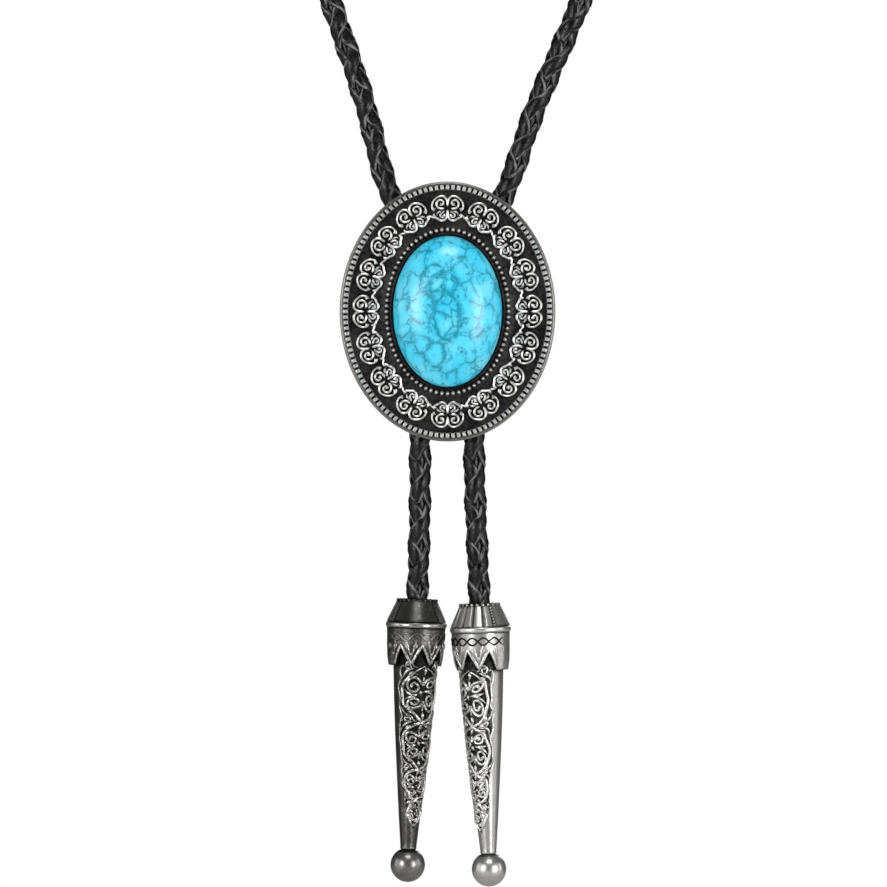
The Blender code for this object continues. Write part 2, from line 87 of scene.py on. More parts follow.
class Graph:
    """A material's node tree, with short calls that add its nodes and join them."""

    def __init__(self, name: str) -> None:
        """Starts a material with its Principled shader.

        Args:
            name: the material's name.
        """
        self.material = bpy.data.materials.new(name)
        self.material.use_nodes = True
        self.tree = self.material.node_tree
        self.shader = self.tree.nodes["Principled BSDF"]
        self.place = self.add("ShaderNodeTexCoord").outputs["Object"]

    def feed(self, socket: Socket, value: Any) -> None:
        """Gives an input its value, or joins it to the socket that feeds it.

        Args:
            socket: the input.
            value: a number, a vector, a colour or another node's socket.
        """
        if isinstance(value, Socket):
            self.tree.links.new(value, socket)
        else:
            socket.default_value = (*value, 1.0) if socket.type == "RGBA" else value

    def add(
        self, kind: str, inputs: dict[Any, Any] | None = None, **settings: Any
    ) -> bpy.types.Node:
        """Adds a node.

        Args:
            kind: the node's type.
            inputs: what feeds each input, by the input's name or number.
            settings: the node's own settings.

        Returns:
            The new node.
        """
        node = self.tree.nodes.new(kind)
        for key, value in settings.items():
            setattr(node, key, value)
        for key, value in (inputs or {}).items():
            self.feed(node.inputs[key], value)
        return node

    def attribute(self, name: str) -> Socket:
        """The value of one of the mesh's own attributes."""
        return self.add("ShaderNodeAttribute", attribute_name=name).outputs["Fac"]

    def noise(self, scale: float, detail: float = 4.0, place: Socket | None = None) -> Socket:
        """A noise pattern's value, about 0.5 on average.

        Args:
            scale: cells in a metre.
            detail: how many finer octaves it has.
            place: the place to read, or None for the object's own place.

        Returns:
            The value's socket.
        """
        place = self.place if place is None else place
        inputs = {"Scale": scale, "Detail": detail, "Vector": place}
        return self.add("ShaderNodeTexNoise", inputs).outputs["Fac"]

    def stretched(self, place: Socket, *scale: float) -> Socket:
        """A place with its three sides scaled."""
        return self.add("ShaderNodeMapping", {"Vector": place, "Scale": scale}).outputs[0]

    def vector(self, operation: str, *values: Any) -> Socket:
        """The result of one sum on vectors, which is a number for a length."""
        node = self.add("ShaderNodeVectorMath", dict(enumerate(values)), operation=operation)
        return node.outputs["Value" if operation == "LENGTH" else "Vector"]

    def math(self, operation: str, first: Any, second: Any = 0.0, clamp: bool = False) -> Socket:
        """The result of one sum on two values or sockets."""
        inputs = {0: first, 1: second}
        return self.add("ShaderNodeMath", inputs, operation=operation, use_clamp=clamp).outputs[0]

    def product(self, first: Any, *others: Any) -> Socket:
        """Values or sockets multiplied together.

        Args:
            first: the first of them.
            others: the rest.

        Returns:
            The product's socket.
        """
        for other in others:
            first = self.math("MULTIPLY", first, other)
        return first

    def span(
        self, value: Socket, low: float, high: float, start: float = 0.0, end: float = 1.0
    ) -> Socket:
        """Maps a value from low to high smoothly onto start to end, and holds it there.

        Args:
            value: the socket to map.
            low: the value that gives start.
            high: the value that gives end.
            start: the result at low.
            end: the result at high.

        Returns:
            The socket of the result.
        """
        inputs = {"Value": value, "From Min": low, "From Max": high, "To Min": start, "To Max": end}
        node = self.add("ShaderNodeMapRange", inputs, interpolation_type="SMOOTHSTEP")
        return node.outputs["Result"]

    def mix(self, share: Any, first: Any, second: Any) -> Socket:
        """A colour between two colours, each a tuple or a socket."""
        node = self.add("ShaderNodeMix", {0: share, 6: first, 7: second}, data_type="RGBA")
        return node.outputs[2]

    def ramp(self, value: Any, stops: Sequence[tuple[float, Color]]) -> Socket:
        """A colour that runs through stops of place and colour."""
        node = self.add("ShaderNodeValToRGB", {"Fac": value})
        band = node.color_ramp
        while len(band.elements) < len(stops):
            band.elements.new(1.0)
        for element, (place, color) in zip(band.elements, stops):
            element.position = place
            element.color = (*color, 1.0)
        return node.outputs["Color"]

    def bump(self, height: Any, strength: float, distance: float, under: Any = None) -> Socket:
        """A surface normal raised by a height, laid over another normal if one is given."""
        inputs = {"Height": height, "Strength": strength, "Distance": distance}
        if under is not None:
            inputs["Normal"] = under
        return self.add("ShaderNodeBump", inputs).outputs["Normal"]

    def finish(self, **sockets: Any) -> bpy.types.Material:
        """Sets the shader's inputs, with underscores for the spaces in their names.

        Args:
            sockets: a value or a socket for each input.

        Returns:
            The finished material.
        """
        for key, value in sockets.items():
            self.feed(self.shader.inputs[key.replace("_", " ")], value)
        return self.material


@dataclass(frozen=True)
class AntiqueSilver:
    """Cast metal with dark patina: the mesh's polish runs from 0, a recess, to 1, rubbed bright."""

    name: str
    recess: Color
    plain: Color
    bright: Color
    recess_roughness: float = 0.50
    plain_roughness: float = 0.32
    bright_roughness: float = 0.27
    mottle: float = 0.20
    wear: float = 0.0
    metallic: float = 0.88
    slot: str = "cast_silver"

    def make(self) -> bpy.types.Material:
        """Builds the material."""
        graph = Graph(self.name)
        polish = graph.attribute(POLISH)
        broad = graph.math("SUBTRACT", graph.noise(260.0, 5.0), 0.5)
        fine = graph.math("SUBTRACT", graph.noise(1500.0, 6.0), 0.5)
        uneven = graph.product(graph.math("ADD", broad, fine), self.mottle)
        raised = graph.span(polish, 0.78, 0.92, 0.0, self.wear)
        chipped = graph.product(raised, graph.span(graph.noise(2100.0, 3.0), 0.40, 0.60, 1.0, 0.0))
        worn = graph.math("SUBTRACT", polish, chipped)
        level = graph.math("ADD", worn, uneven, clamp=True)
        color = graph.ramp(level, [(0.0, self.recess), (0.5, self.plain), (0.95, self.bright)])
        rough_low = graph.span(level, 0.0, 0.5, self.recess_roughness, self.plain_roughness)
        rough_drop = graph.span(level, 0.5, 1.0, 0.0, self.plain_roughness - self.bright_roughness)
        roughness = graph.math("SUBTRACT", rough_low, rough_drop)
        grain = graph.bump(graph.noise(3200.0, 3.0), 0.25, 0.04 * MM)
        pits = graph.bump(graph.noise(700.0, 4.0), 0.20, 0.10 * MM, grain)
        return graph.finish(
            Base_Color=color, Roughness=roughness, Metallic=self.metallic, Normal=pits
        )


@dataclass(frozen=True)
class VeinedStone:
    """Polished blue stone with a net of dark veins and paler clouds.

    Attributes:
        centre: the middle of the stone's face.
        wander: how far the veins wander from their cells' edges.
        line: how wide the main cells' veins are.
        halo: how wide the dark shade beside them is.
        cells: the main cells that veins run round, in millimetres: across and up from the
            centre, half width and half height.
        nets: the finer nets: cells in a metre, half width in cells, and how patchy.
    """

    centre: Spot
    name: str = "veined turquoise"
    base: Color = (0.038, 0.670, 0.970)
    pale: Color = (0.160, 0.760, 0.950)
    deep: Color = (0.008, 0.360, 0.520)
    vein: Color = (0.002, 0.165, 0.240)
    slot: str = "turquoise"
    wander: float = 1.8 * MM
    line: float = 0.36 * MM
    halo: float = 1.20 * MM
    cells: tuple[tuple[float, float, float, float], ...] = (
        (0.1, -1.1, 2.5, 4.6), (0.6, 5.4, 1.7, 1.8), (-2.9, 6.6, 2.3, 2.6), (2.7, 8.9, 2.2, 1.9),
        (-5.2, 0.6, 2.5, 3.0), (-5.6, -6.6, 2.1, 1.8), (-2.6, -8.6, 2.0, 2.4), (5.0, -3.4, 2.3, 2.2),
    )
    nets: tuple[tuple[float, float, Flat], ...] = (
        (260.0, 0.062, (0.34, 0.54)), (540.0, 0.070, (0.48, 0.64)),
    )

    def make(self) -> bpy.types.Material:
        """Builds the material."""
        graph = Graph(self.name)
        drift = graph.add(
            "ShaderNodeTexNoise", {"Scale": 380.0, "Detail": 2.5, "Vector": graph.place}
        )
        pushed = graph.vector("SUBTRACT", drift.outputs["Color"], (0.5, 0.5, 0.5))
        pushed = graph.vector("MULTIPLY", pushed, (self.wander,) * 3)
        moved = graph.vector("ADD", graph.place, pushed)
        narrowed = graph.stretched(moved, 1.0, 1.0, 0.75)
        cloud = graph.span(graph.noise(210.0, 4.0), 0.42, 0.66)
        color = graph.mix(graph.product(cloud, 0.9), self.base, self.pale)
        pebbles = graph.add("ShaderNodeTexVoronoi", {"Vector": narrowed, "Scale": 260.0})
        pebble = pebbles.outputs["Color"]
        color = graph.mix(graph.product(graph.vector("LENGTH", pebble), 0.16), color, self.pale)
        crumbs = graph.span(graph.noise(1500.0, 4.0), 0.34, 0.54, 0.35, 1.0)
        for line, patch in self.placed_veins(graph, moved) + self.net_veins(graph, narrowed):
            share = graph.product(line, patch, crumbs)
            color = graph.mix(share, color, self.deep)
            depth = graph.product(graph.math("POWER", share, 1.6), 0.85)
            color = graph.mix(depth, color, self.vein)
        mottle = graph.span(graph.noise(1100.0, 5.0), 0.54, 0.72, 0.0, 0.40)
        color = graph.mix(mottle, color, self.deep)
        return graph.finish(
            Base_Color=color, Roughness=0.32, Metallic=0.0, Coat_Weight=0.24, Coat_Roughness=0.17,
        )

    def placed_veins(self, graph: Graph, place: Socket) -> list[tuple[Socket, Any]]:
        """The veins round the main cells.

        Args:
            graph: the material's graph.
            place: the wandering place to read.

        Returns:
            Each vein's line, and how far it has faded.
        """
        lines = []
        for number, cell in enumerate(self.cells):
            across, up, half_width, half_height = (size * MM for size in cell)
            middle = (self.centre[0] + across, 0.0, self.centre[2] + up)
            offset = graph.vector("SUBTRACT", place, middle)
            scaled = graph.vector("MULTIPLY", offset, (1 / half_width, 0.0, 1 / half_height))
            outside = graph.math("SUBTRACT", graph.vector("LENGTH", scaled), 1.0)
            ring = graph.math("ABSOLUTE", outside)
            patch = 1.0
            if number > 0:
                patch = graph.span(graph.noise(330.0 + 20 * number, 3.0), 0.38, 0.56)
            lines.append((graph.span(ring, 0.0, self.line / half_width, 1.0, 0.0), patch))
            lines.append((graph.span(ring, 0.0, self.halo / half_width, 0.50, 0.0), patch))
        return lines

    def net_veins(self, graph: Graph, place: Socket) -> list[tuple[Socket, Socket]]:
        """The veins of the finer nets.

        Args:
            graph: the material's graph.
            place: the wandering place to read.

        Returns:
            Each vein's line, and how far it has faded.
        """
        lines = []
        for scale, width, patchiness in self.nets:
            inputs = {"Vector": place, "Scale": scale}
            cells = graph.add("ShaderNodeTexVoronoi", inputs, feature="DISTANCE_TO_EDGE")
            net = cells.outputs["Distance"]
            patch = graph.span(graph.noise(scale * 1.1, 3.0), *patchiness)
            lines.append((graph.span(net, 0.0, width, 1.0, 0.0), graph.product(patch, 0.80)))
            lines.append((graph.span(net, 0.0, 3.5 * width, 0.38, 0.0), patch))
        return lines


@dataclass(frozen=True)
class LaceLeather:
    """Black dressed leather lace: soft gloss, fibres and creases along it, and painted edge highlights."""

    name: str = "black lace leather"
    dark: Color = (0.0014, 0.0014, 0.0015)
    worn: Color = (0.008, 0.008, 0.008)
    # edge is the colour of the painted highlight, a pale streak along each lace's edges.
    edge: Color = (0.190, 0.188, 0.185)
    slot: str = "braided_leather"

    def make(self) -> bpy.types.Material:
        """Builds the material."""
        graph = Graph(self.name)
        across = graph.attribute(ACROSS)
        along = graph.attribute(ALONG)
        lane = graph.add("ShaderNodeCombineXYZ", {"X": across, "Y": graph.product(along, 160.0)})
        fibre = graph.noise(3.0, 6.0, lane.outputs[0])
        crease = graph.noise(900.0, 5.0)
        rubbed = graph.span(graph.math("ADD", fibre, graph.product(crease, 0.5)), 0.62, 1.0)
        color = graph.mix(rubbed, self.dark, self.worn)
        # Painted highlight: a pale streak near each edge of the lace, broken up by the fibres.
        outer = graph.math("ABSOLUTE", across)
        rise = graph.span(outer, 0.45, 0.68)
        fall = graph.span(outer, 0.80, 0.96, 1.0, 0.0)
        painted_highlight = graph.product(rise, fall, graph.span(fibre, 0.42, 0.60))
        color = graph.mix(painted_highlight, color, self.edge)
        roughness = graph.span(crease, 0.3, 0.7, 0.24, 0.40)
        grain = graph.bump(crease, 0.60, 0.22 * MM)
        normal = graph.bump(fibre, 0.55, 0.20 * MM, grain)
        return graph.finish(
            Base_Color=color, Roughness=roughness, Metallic=0.0, Normal=normal,
            Specular_IOR_Level=0.30,
        )


@dataclass(frozen=True)
class SatinSteel:
    """Plated steel with a fine upright brushing, for the hidden clasp."""

    name: str = "satin steel"
    color: Color = (0.52, 0.52, 0.53)
    slot: str = "plated_steel"

    def make(self) -> bpy.types.Material:
        """Builds the material."""
        graph = Graph(self.name)
        brush = graph.noise(6000.0, 3.0, graph.stretched(graph.place, 1.0, 1.0, 0.03))
        cloud = graph.noise(220.0, 4.0)
        tone = graph.span(cloud, 0.3, 0.7, 0.0, 0.45)
        color = graph.mix(tone, self.color, (0.36, 0.36, 0.37))
        roughness = graph.span(brush, 0.3, 0.7, 0.30, 0.44)
        return graph.finish(
            Base_Color=color, Roughness=roughness, Metallic=1.0,
            Normal=graph.bump(brush, 0.2, 0.02 * MM),
        )


@dataclass(frozen=True)
class StageFinish:
    """Matt floor of the studio, which shines faintly to the camera alone and so is evenly pale."""

    name: str = "studio floor"
    color: Color = (0.80, 0.80, 0.80)
    glow: float = 1.0

    def make(self) -> bpy.types.Material:
        """Builds the material."""
        graph = Graph(self.name)
        tone = graph.span(graph.noise(3.0, 2.0), 0.3, 0.7, 0.0, 0.1)
        color = graph.mix(tone, self.color, (0.76, 0.76, 0.77))
        seen = graph.add("ShaderNodeLightPath").outputs["Is Camera Ray"]
        glow = graph.product(seen, self.glow)
        return graph.finish(
            Base_Color=color, Roughness=0.9, Emission_Color=color, Emission_Strength=glow
        )


def polish_layer(bm: BMesh) -> Any:
    """The mesh's polish layer, made if it isn't there."""
    layers = bm.verts.layers.float
    return layers.get(POLISH) or layers.new(POLISH)


def merge(target: BMesh, part: BMesh, place: Matrix | None = None) -> None:
    """Adds a copy of one mesh to another.

    Args:
        target: the mesh that grows.
        part: the mesh to copy.
        place: where the copy goes, or None to leave it where it is.
    """
    carrier = bpy.data.meshes.new("carrier")
    part.to_mesh(carrier)
    first = len(target.verts)
    target.from_mesh(carrier)
    bpy.data.meshes.remove(carrier)
    if place is not None:
        target.verts.ensure_lookup_table()
        bmesh.ops.transform(target, matrix=place, verts=target.verts[first:])


def scatter(target: BMesh, part: BMesh, places: Sequence[Matrix]) -> None:
    """Adds a copy of a mesh at each of some places, and frees the mesh.

    Args:
        target: the mesh that grows.
        part: the mesh to copy. It is used up.
        places: where the copies go.
    """
    for place in places:
        merge(target, part, place)
    part.free()


def only(kind: type, items: Sequence[Any]) -> list[Any]:
    """Those items of a mesh that are of one kind, such as its points."""
    return [item for item in items if isinstance(item, kind)]


def grow_rim(bm: BMesh, rim: list[BMEdge]) -> tuple[list[BMEdge], list[BMVert]]:
    """Extrudes an open rim on the spot.

    Args:
        bm: the mesh.
        rim: the rim's edges.

    Returns:
        The new rim's edges, and its points, which can now be moved.
    """
    grown = bmesh.ops.extrude_edge_only(bm, edges=rim)["geom"]
    return only(BMEdge, grown), only(BMVert, grown)


def bar(sides: int, stations: int) -> BMesh:
    """A closed round bar of radius 1 that runs from z = 0 to 1.

    Args:
        sides: how many sides its section has.
        stations: how many sections it has, ends among them.

    Returns:
        The bar's mesh.
    """
    bm = bmesh.new()
    turns = [2 * math.pi * side / sides for side in range(sides)]
    rings = [
        [bm.verts.new((-math.sin(turn), math.cos(turn), level)) for turn in turns]
        for level in np.linspace(0, 1, stations)
    ]
    bm.faces.new(reversed(rings[0]))
    bm.faces.new(rings[-1])
    for lower, upper in zip(rings, rings[1:]):
        for side in range(sides):
            bm.faces.new((lower[side - 1], lower[side], upper[side], upper[side - 1]))
    return bm


def new_object(name: str, data: Any) -> bpy.types.Object:
    """Puts a mesh, a light or a camera into the scene.

    Args:
        name: the object's name.
        data: what it holds.

    Returns:
        The object.
    """
    made = bpy.data.objects.new(name, data)
    bpy.context.scene.collection.objects.link(made)
    return made


def mesh_object(bm: BMesh, name: str, material: bpy.types.Material) -> bpy.types.Object:
    """Turns a mesh into an object with one material.

    Args:
        bm: the mesh. It is used up.
        name: the object's name.
        material: its material.

    Returns:
        The object.
    """
    mesh = bpy.data.meshes.new(name)
    bm.to_mesh(mesh)
    bm.free()
    mesh.materials.append(material)
    return new_object(name, mesh)


def settle(
    bm: BMesh, name: str, material: bpy.types.Material, nodes: Sequence[str] = (),
    crease: float = 40.0,
) -> bpy.types.Object:
    """Turns a mesh into a finished piece of the tie.

    Args:
        bm: the piece's mesh, in its place. It is used up.
        name: the piece's name.
        material: its finish.
        nodes: the nodes of the frame that the piece replaces.
        crease: the angle in degrees above which an edge stays sharp.

    Returns:
        The piece, riding on the tie's one body.
    """
    bmesh.ops.recalc_face_normals(bm, faces=bm.faces)
    piece = mesh_object(bm, name, material)
    mesh = piece.data
    mesh.shade_smooth()
    mesh.set_sharp_from_angle(angle=math.radians(crease))
    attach(piece, BODY)
    if nodes:
        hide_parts(*nodes)
    log.info("%s: %d faces", name, len(mesh.polygons))
    return piece


def round_ends(share: float) -> float:
    """Width of a stroke of even width whose two ends are rounded off."""
    return min(1.0, math.sqrt(max(min(share, 1 - share) / 0.07, 0.08)))


def leaf_shape(share: float) -> float:
    """Width of a stroke that swells from a fine stalk to a leaf and runs out in a point."""
    return max(0.12, math.sin(math.pi * share**0.75))


@dataclass
class Relief:
    """Raised line work on a ground, drawn as ribs with rounded backs.

    Attributes:
        bm: the mesh that the ribs are added to.
        ground: gives the point and the outward normal at a flat place.
        sink: how far a rib's foot is let into the ground.
        sides: how many sides a rib's section has.
        foot: the polish at a rib's foot.
        crest: the polish on its back.
        flatness: how flat a rib's back is: 1 is round, and less is flatter.
        squareness: how square its sides are, in the same way.
        lowest: the share of its height that its finest part keeps.
    """

    bm: BMesh
    ground: Ground
    sink: float = 0.12 * MM
    sides: int = 10
    foot: float = 0.25
    crest: float = 1.0
    flatness: float = 0.6
    squareness: float = 0.8
    lowest: float = 0.35

    def rib(
        self, line: Sequence[Flat], width: float, height: float, taper: Taper = round_ends
    ) -> None:
        """Adds one rib.

        Args:
            line: the flat places that it follows.
            width: its greatest width.
            height: its height above the ground.
            taper: its width along its length, as a share.
        """
        count = len(line)
        seats = [self.ground(*place) for place in line]
        part = bar(self.sides, count)
        layer = polish_layer(part)
        for vert in part.verts:
            station = round(vert.co.z * (count - 1))
            point, normal = seats[station]
            ahead = seats[min(station + 1, count - 1)][0] - seats[max(station - 1, 0)][0]
            aside = ahead.cross(normal).normalized()
            share = taper(station / (count - 1))
            back = max(vert.co.y, 0.0) ** self.flatness
            across = math.copysign(abs(vert.co.x) ** self.squareness, vert.co.x) * share * width / 2
            full = height * (self.lowest + (1 - self.lowest) * min(share, 1.0))
            rise = back * full + min(vert.co.y, 0.0) * self.sink
            vert[layer] = self.foot + (self.crest - self.foot) * back**0.7
            vert.co = point + aside * across + normal * rise
        merge(self.bm, part)
        part.free()

    def dot(self, place: Flat, radius: float, height: float) -> None:
        """Adds one small round knob.

        Args:
            place: its flat place.
            radius: its radius.
            height: its height above the ground.
        """
        point, normal = self.ground(*place)
        part = bmesh.new()
        layer = polish_layer(part)
        bmesh.ops.create_uvsphere(part, u_segments=10, v_segments=6, radius=1.0)
        for vert in part.verts:
            vert[layer] = self.foot + (self.crest - self.foot) * max(vert.co.z, 0.0)
        turn = normal.to_track_quat("Z", "Y").to_matrix().to_4x4()
        size = Matrix.Diagonal((radius, radius, height, 1.0))
        merge(self.bm, part, Matrix.Translation(point) @ turn @ size)
        part.free()


def comma(share: float) -> float:
    """Width of a stroke that gets finer and then ends in a round blob."""
    return max(0.2, min(1.0, share / 0.05)) * (1 - 0.3 * share + 0.9 * max(share - 0.86, 0) / 0.14)


def spiral(
    centre: Flat, reach: Flat, start: float, sweep: float, curl: float,
    hold: float = 0.0, count: int = 26,
) -> list[Flat]:
    """Places along a spiral that winds inwards.

    Args:
        centre: the flat place that it winds round.
        reach: its half sizes at its outer end, across and up.
        start: the angle of its outer end, in degrees.
        sweep: how far it turns, in degrees, with its sign.
        curl: the share of its size that is left at its inner end.
        hold: the share of its length over which it keeps its size.
        count: how many places.

    Returns:
        The places, from the outer end.
    """
    places = []
    for share in np.linspace(0, 1, count):
        drawn = max(share - hold, 0.0) / (1 - hold)
        size = 1 - (1 - curl) * drawn
        angle = math.radians(start + sweep * share)
        places.append((
            centre[0] + reach[0] * size * math.cos(angle),
            centre[1] + reach[1] * size * math.sin(angle),
        ))
    return places


def run_along(points: np.ndarray) -> np.ndarray:
    """How far along a line each of its points is."""
    return np.concatenate([[0], np.cumsum(np.linalg.norm(np.diff(points, axis=0), axis=1))])


def smooth_line(knots: np.ndarray, spacing: float) -> np.ndarray:
    """Evenly spaced points on the natural cubic spline through some knots.

    Args:
        knots: the points that it passes through, one a row.
        spacing: the distance between the points that it gives.

    Returns:
        The points.
    """
    count = len(knots)
    run = run_along(knots)
    steps = np.diff(run)
    slopes = np.diff(knots, axis=0) / steps[:, None]
    system = np.eye(count)
    wanted = np.zeros_like(knots)
    for i in range(1, count - 1):
        system[i, i - 1 : i + 2] = steps[i - 1], 2 * (steps[i - 1] + steps[i]), steps[i]
        wanted[i] = 6 * (slopes[i] - slopes[i - 1])
    bends = np.linalg.solve(system, wanted)
    place = np.linspace(0, run[-1], SPLINE_STEPS)
    i = np.clip(np.searchsorted(run, place, side="right") - 1, 0, count - 2)
    a, b, h = ((run[i + 1] - place)[:, None], (place - run[i])[:, None], steps[i][:, None])
    fine = (
        bends[i] * a**3 / (6 * h) + bends[i + 1] * b**3 / (6 * h)
        + (knots[i] / h - bends[i] * h / 6) * a + (knots[i + 1] / h - bends[i + 1] * h / 6) * b
    )
    along = run_along(fine)
    places = np.linspace(0, along[-1], round(along[-1] / spacing) + 1)
    return np.stack([np.interp(places, along, values) for values in fine.T], axis=1)


def oval_angles(half_width: float, half_height: float, count: int) -> np.ndarray:
    """Angles at which points lie evenly spaced along an oval's edge.

    Args:
        half_width: the oval's half width.
        half_height: its half height.
        count: how many points.

    Returns:
        Their angles, from the right and anticlockwise.
    """
    angles = np.linspace(0, 2 * math.pi, OVAL_STEPS)
    run = run_along(np.stack([half_width * np.cos(angles), half_height * np.sin(angles)], axis=1))
    return np.interp(np.arange(count) * run[-1] / count, run, angles)


@dataclass
class Slide:
    """The slide: cast plate with teeth, sunk field, scroll work, beads and bezel, and its stone.

    It is modelled flat, x to the right, y up and z to the front from the plate's back, in a
    place that stand_up then turns to face the front.
    """

    half_width: float
    half_height: float
    place: Matrix
    silver: bpy.types.Material
    stone: bpy.types.Material
    silver_slot: str
    stone_slot: str
    thickness: float = 1.6 * MM
    lip: float = 0.80 * MM
    tooth_length: float = 0.80 * MM
    tooth_slope: float = 0.40 * MM
    tooth_width: float = 0.70 * MM
    tooth_height: float = 0.62 * MM
    tooth_bevel: float = 0.13 * MM
    tooth_seat: float = 0.22 * MM
    tooth_count: int = 128
    stone_half_width: float = 10.85 * MM
    stone_half_height: float = 15.05 * MM
    stone_height: float = 7.0 * MM
    stone_girdle: float = 1.4 * MM
    clearance: float = 0.35 * MM
    seat_depth: float = 0.4 * MM
    bezel_wall: float = 0.45 * MM
    bezel_height: float = 1.5 * MM
    bead_length: float = 0.96 * MM
    bead_width: float = 0.74 * MM
    bead_height: float = 0.60 * MM
    bead_seat: float = 0.05 * MM
    bead_count: int = 80
    rosette_count: int = 16
    rosette_height: float = 0.50 * MM
    stroke_spacing: float = 0.16 * MM
    link_reach: float = 2.60 * MM
    link_drop: float = -1.25 * MM
    link_wave: float = 0.22 * MM
    link_width: float = 0.42 * MM
    segments: int = 288
    strokes: list[tuple[float, Taper, tuple[Flat, ...]]] = field(default_factory=lambda: [
        # a rosette's right half in millimetres: line width, its ends, places across and outwards
        (0.50, comma, (
            (0.05, 0.40), (0.05, 1.35), (0.30, 2.00), (0.84, 2.42), (1.50, 2.46), (2.12, 2.18),
            (2.64, 1.74), (3.00, 1.16), (3.12, 0.54), (2.96, -0.02), (2.50, -0.30),
        )),
        (0.50, comma, (
            (0.62, 0.08), (1.16, -0.04), (1.74, 0.12), (2.14, 0.56), (2.18, 1.10), (1.84, 1.58),
            (1.28, 1.66), (0.84, 1.30), (0.96, 0.84), (1.46, 0.86),
        )),
        (0.50, round_ends, (
            (0.05, -0.20), (0.05, -1.15), (0.26, -1.86), (0.76, -2.36), (1.40, -2.38), (1.90, -2.06),
            (2.40, -1.84), (2.74, -1.44), (2.62, -0.98),
        )),
        (0.46, comma, (
            (0.58, -0.46), (1.06, -0.80), (1.44, -1.30), (1.14, -1.78), (0.66, -1.62), (0.80, -1.22),
        )),
        (0.44, leaf_shape, ((1.15, -0.46), (1.70, -0.70), (2.10, -1.10), (2.02, -1.50))),
    ])

    @property
    def rim(self) -> float:
        """How far the field's edge lies inside the plate's edge."""
        return self.lip + self.tooth_length + 0.06 * MM

    def inside(self, inset: float) -> Flat:
        """Half width and half height of an oval inside the plate's edge."""
        return self.half_width - inset, self.half_height - inset

    def round_seat(self, outset: float) -> Flat:
        """Half width and half height of an oval outside the edge of the stone's seat."""
        free = self.clearance
        return self.stone_half_width + free + outset, self.stone_half_height + free + outset

    @property
    def beading(self) -> float:
        """How far the beading's outer edge lies outside the seat."""
        return self.bezel_wall + self.bead_length

    def build(self) -> list[bpy.types.Object]:
        """Builds the slide's pieces.

        Returns:
            The plate with all that is cast on it, and the stone.
        """
        bm = self.plate()
        self.add_teeth(bm)
        self.add_beads(bm)
        self.add_scrolls(bm)
        bmesh.ops.transform(bm, matrix=self.place, verts=bm.verts)
        plate = settle(bm, "slide_plate", self.silver, ["concho"], crease=50)
        return [plate, self.build_stone()]

    def plate(self) -> BMesh:
        """The plate, turned from its back over the lip and the field down into the seat."""
        wall = self.thickness
        rim = self.rim
        bezel = wall + self.bezel_height
        outer = [
            # how far inside the plate's edge, front, polish
            (0.0, 0.0, 0.5),
            (0.0, wall - 0.25 * MM, 0.36),
            (0.05 * MM, wall + 0.06 * MM, 0.42),
            (0.20 * MM, wall + 0.24 * MM, 0.42),
            (self.lip - 0.16 * MM, wall + 0.32 * MM, 0.26),
            (self.lip, wall + 0.22 * MM, 0.10),
            (self.lip + 0.06 * MM, wall + 0.20 * MM, 0.0),
            (rim - 0.10 * MM, wall + 0.24 * MM, 0.0),
            (rim - 0.04 * MM, wall + 0.30 * MM, 0.55),
            (rim + 0.04 * MM, wall + 0.24 * MM, 0.35),
            (rim + 0.10 * MM, wall + 0.03 * MM, 0.03),
            (rim + 0.22 * MM, wall, 0.02),
            (rim + 1.20 * MM, wall, 0.035),
            (rim + 3.30 * MM, wall, 0.0),
            (rim + 5.60 * MM, wall, 0.03),
        ]
        inner = [
            # how far outside the seat's edge, front, polish
            (self.beading, wall, 0.03),
            (self.beading - 0.10 * MM, wall + 0.08 * MM, 0.0),
            (self.bezel_wall + 0.06 * MM, wall + 0.08 * MM, 0.0),
            # Painted shade: the bezel's wall and top get the darkest polish, the shade of the narrow gap
            # round the stone.
            (self.bezel_wall, wall + 0.16 * MM, 0.0),
            (self.bezel_wall - 0.06 * MM, bezel - 0.30 * MM, 0.0),
            (self.bezel_wall - 0.18 * MM, bezel - 0.10 * MM, 0.03),
            (0.0, bezel, 0.0),
            (-0.22 * MM, bezel - 0.05 * MM, 0.0),
            (-0.22 * MM, bezel - 0.12 * MM, 0.0),
            (0.0, bezel - 0.30 * MM, 0.0),
            (0.0, wall - self.seat_depth, 0.0),
        ]
        steps = [(*self.inside(inset), front, polish) for inset, front, polish in outer]
        steps += [(*self.round_seat(outset), front, polish) for outset, front, polish in inner]
        bm = bmesh.new()
        layer = polish_layer(bm)
        bmesh.ops.create_circle(bm, cap_ends=True, segments=self.segments, radius=1.0)
        loop, edge = bm.verts[:], bm.edges[:]
        width = height = 1.0
        front = 0.0
        for number, (next_width, next_height, next_front, polish) in enumerate(steps):
            if number:
                edge, loop = grow_rim(bm, edge)
            bmesh.ops.scale(bm, vec=(next_width / width, next_height / height, 1), verts=loop)
            bmesh.ops.translate(bm, vec=(0, 0, next_front - front), verts=loop)
            for vert in loop:
                vert[layer] = polish
            width, height, front = next_width, next_height, next_front
        bmesh.ops.holes_fill(bm, edges=edge, sides=0)
        return bm

    def around(
        self, half_width: float, half_height: float, count: int, front: float
    ) -> list[Matrix]:
        """Places evenly spaced round an oval, each with x along it and y outwards.

        Args:
            half_width: the oval's half width.
            half_height: its half height.
            count: how many places.
            front: their distance in front of the plate's back.

        Returns:
            The places' matrices.
        """
        places = []
        for angle in oval_angles(half_width, half_height, count):
            along = Vector((-half_width * math.sin(angle), half_height * math.cos(angle), 0))
            along.normalize()
            outward = Vector((along.y, -along.x, 0))
            turn = Matrix((-along, outward, Vector((0, 0, 1)))).transposed().to_4x4()
            spot = Vector((half_width * math.cos(angle), half_height * math.sin(angle), front))
            places.append(Matrix.Translation(spot) @ turn)
        return places

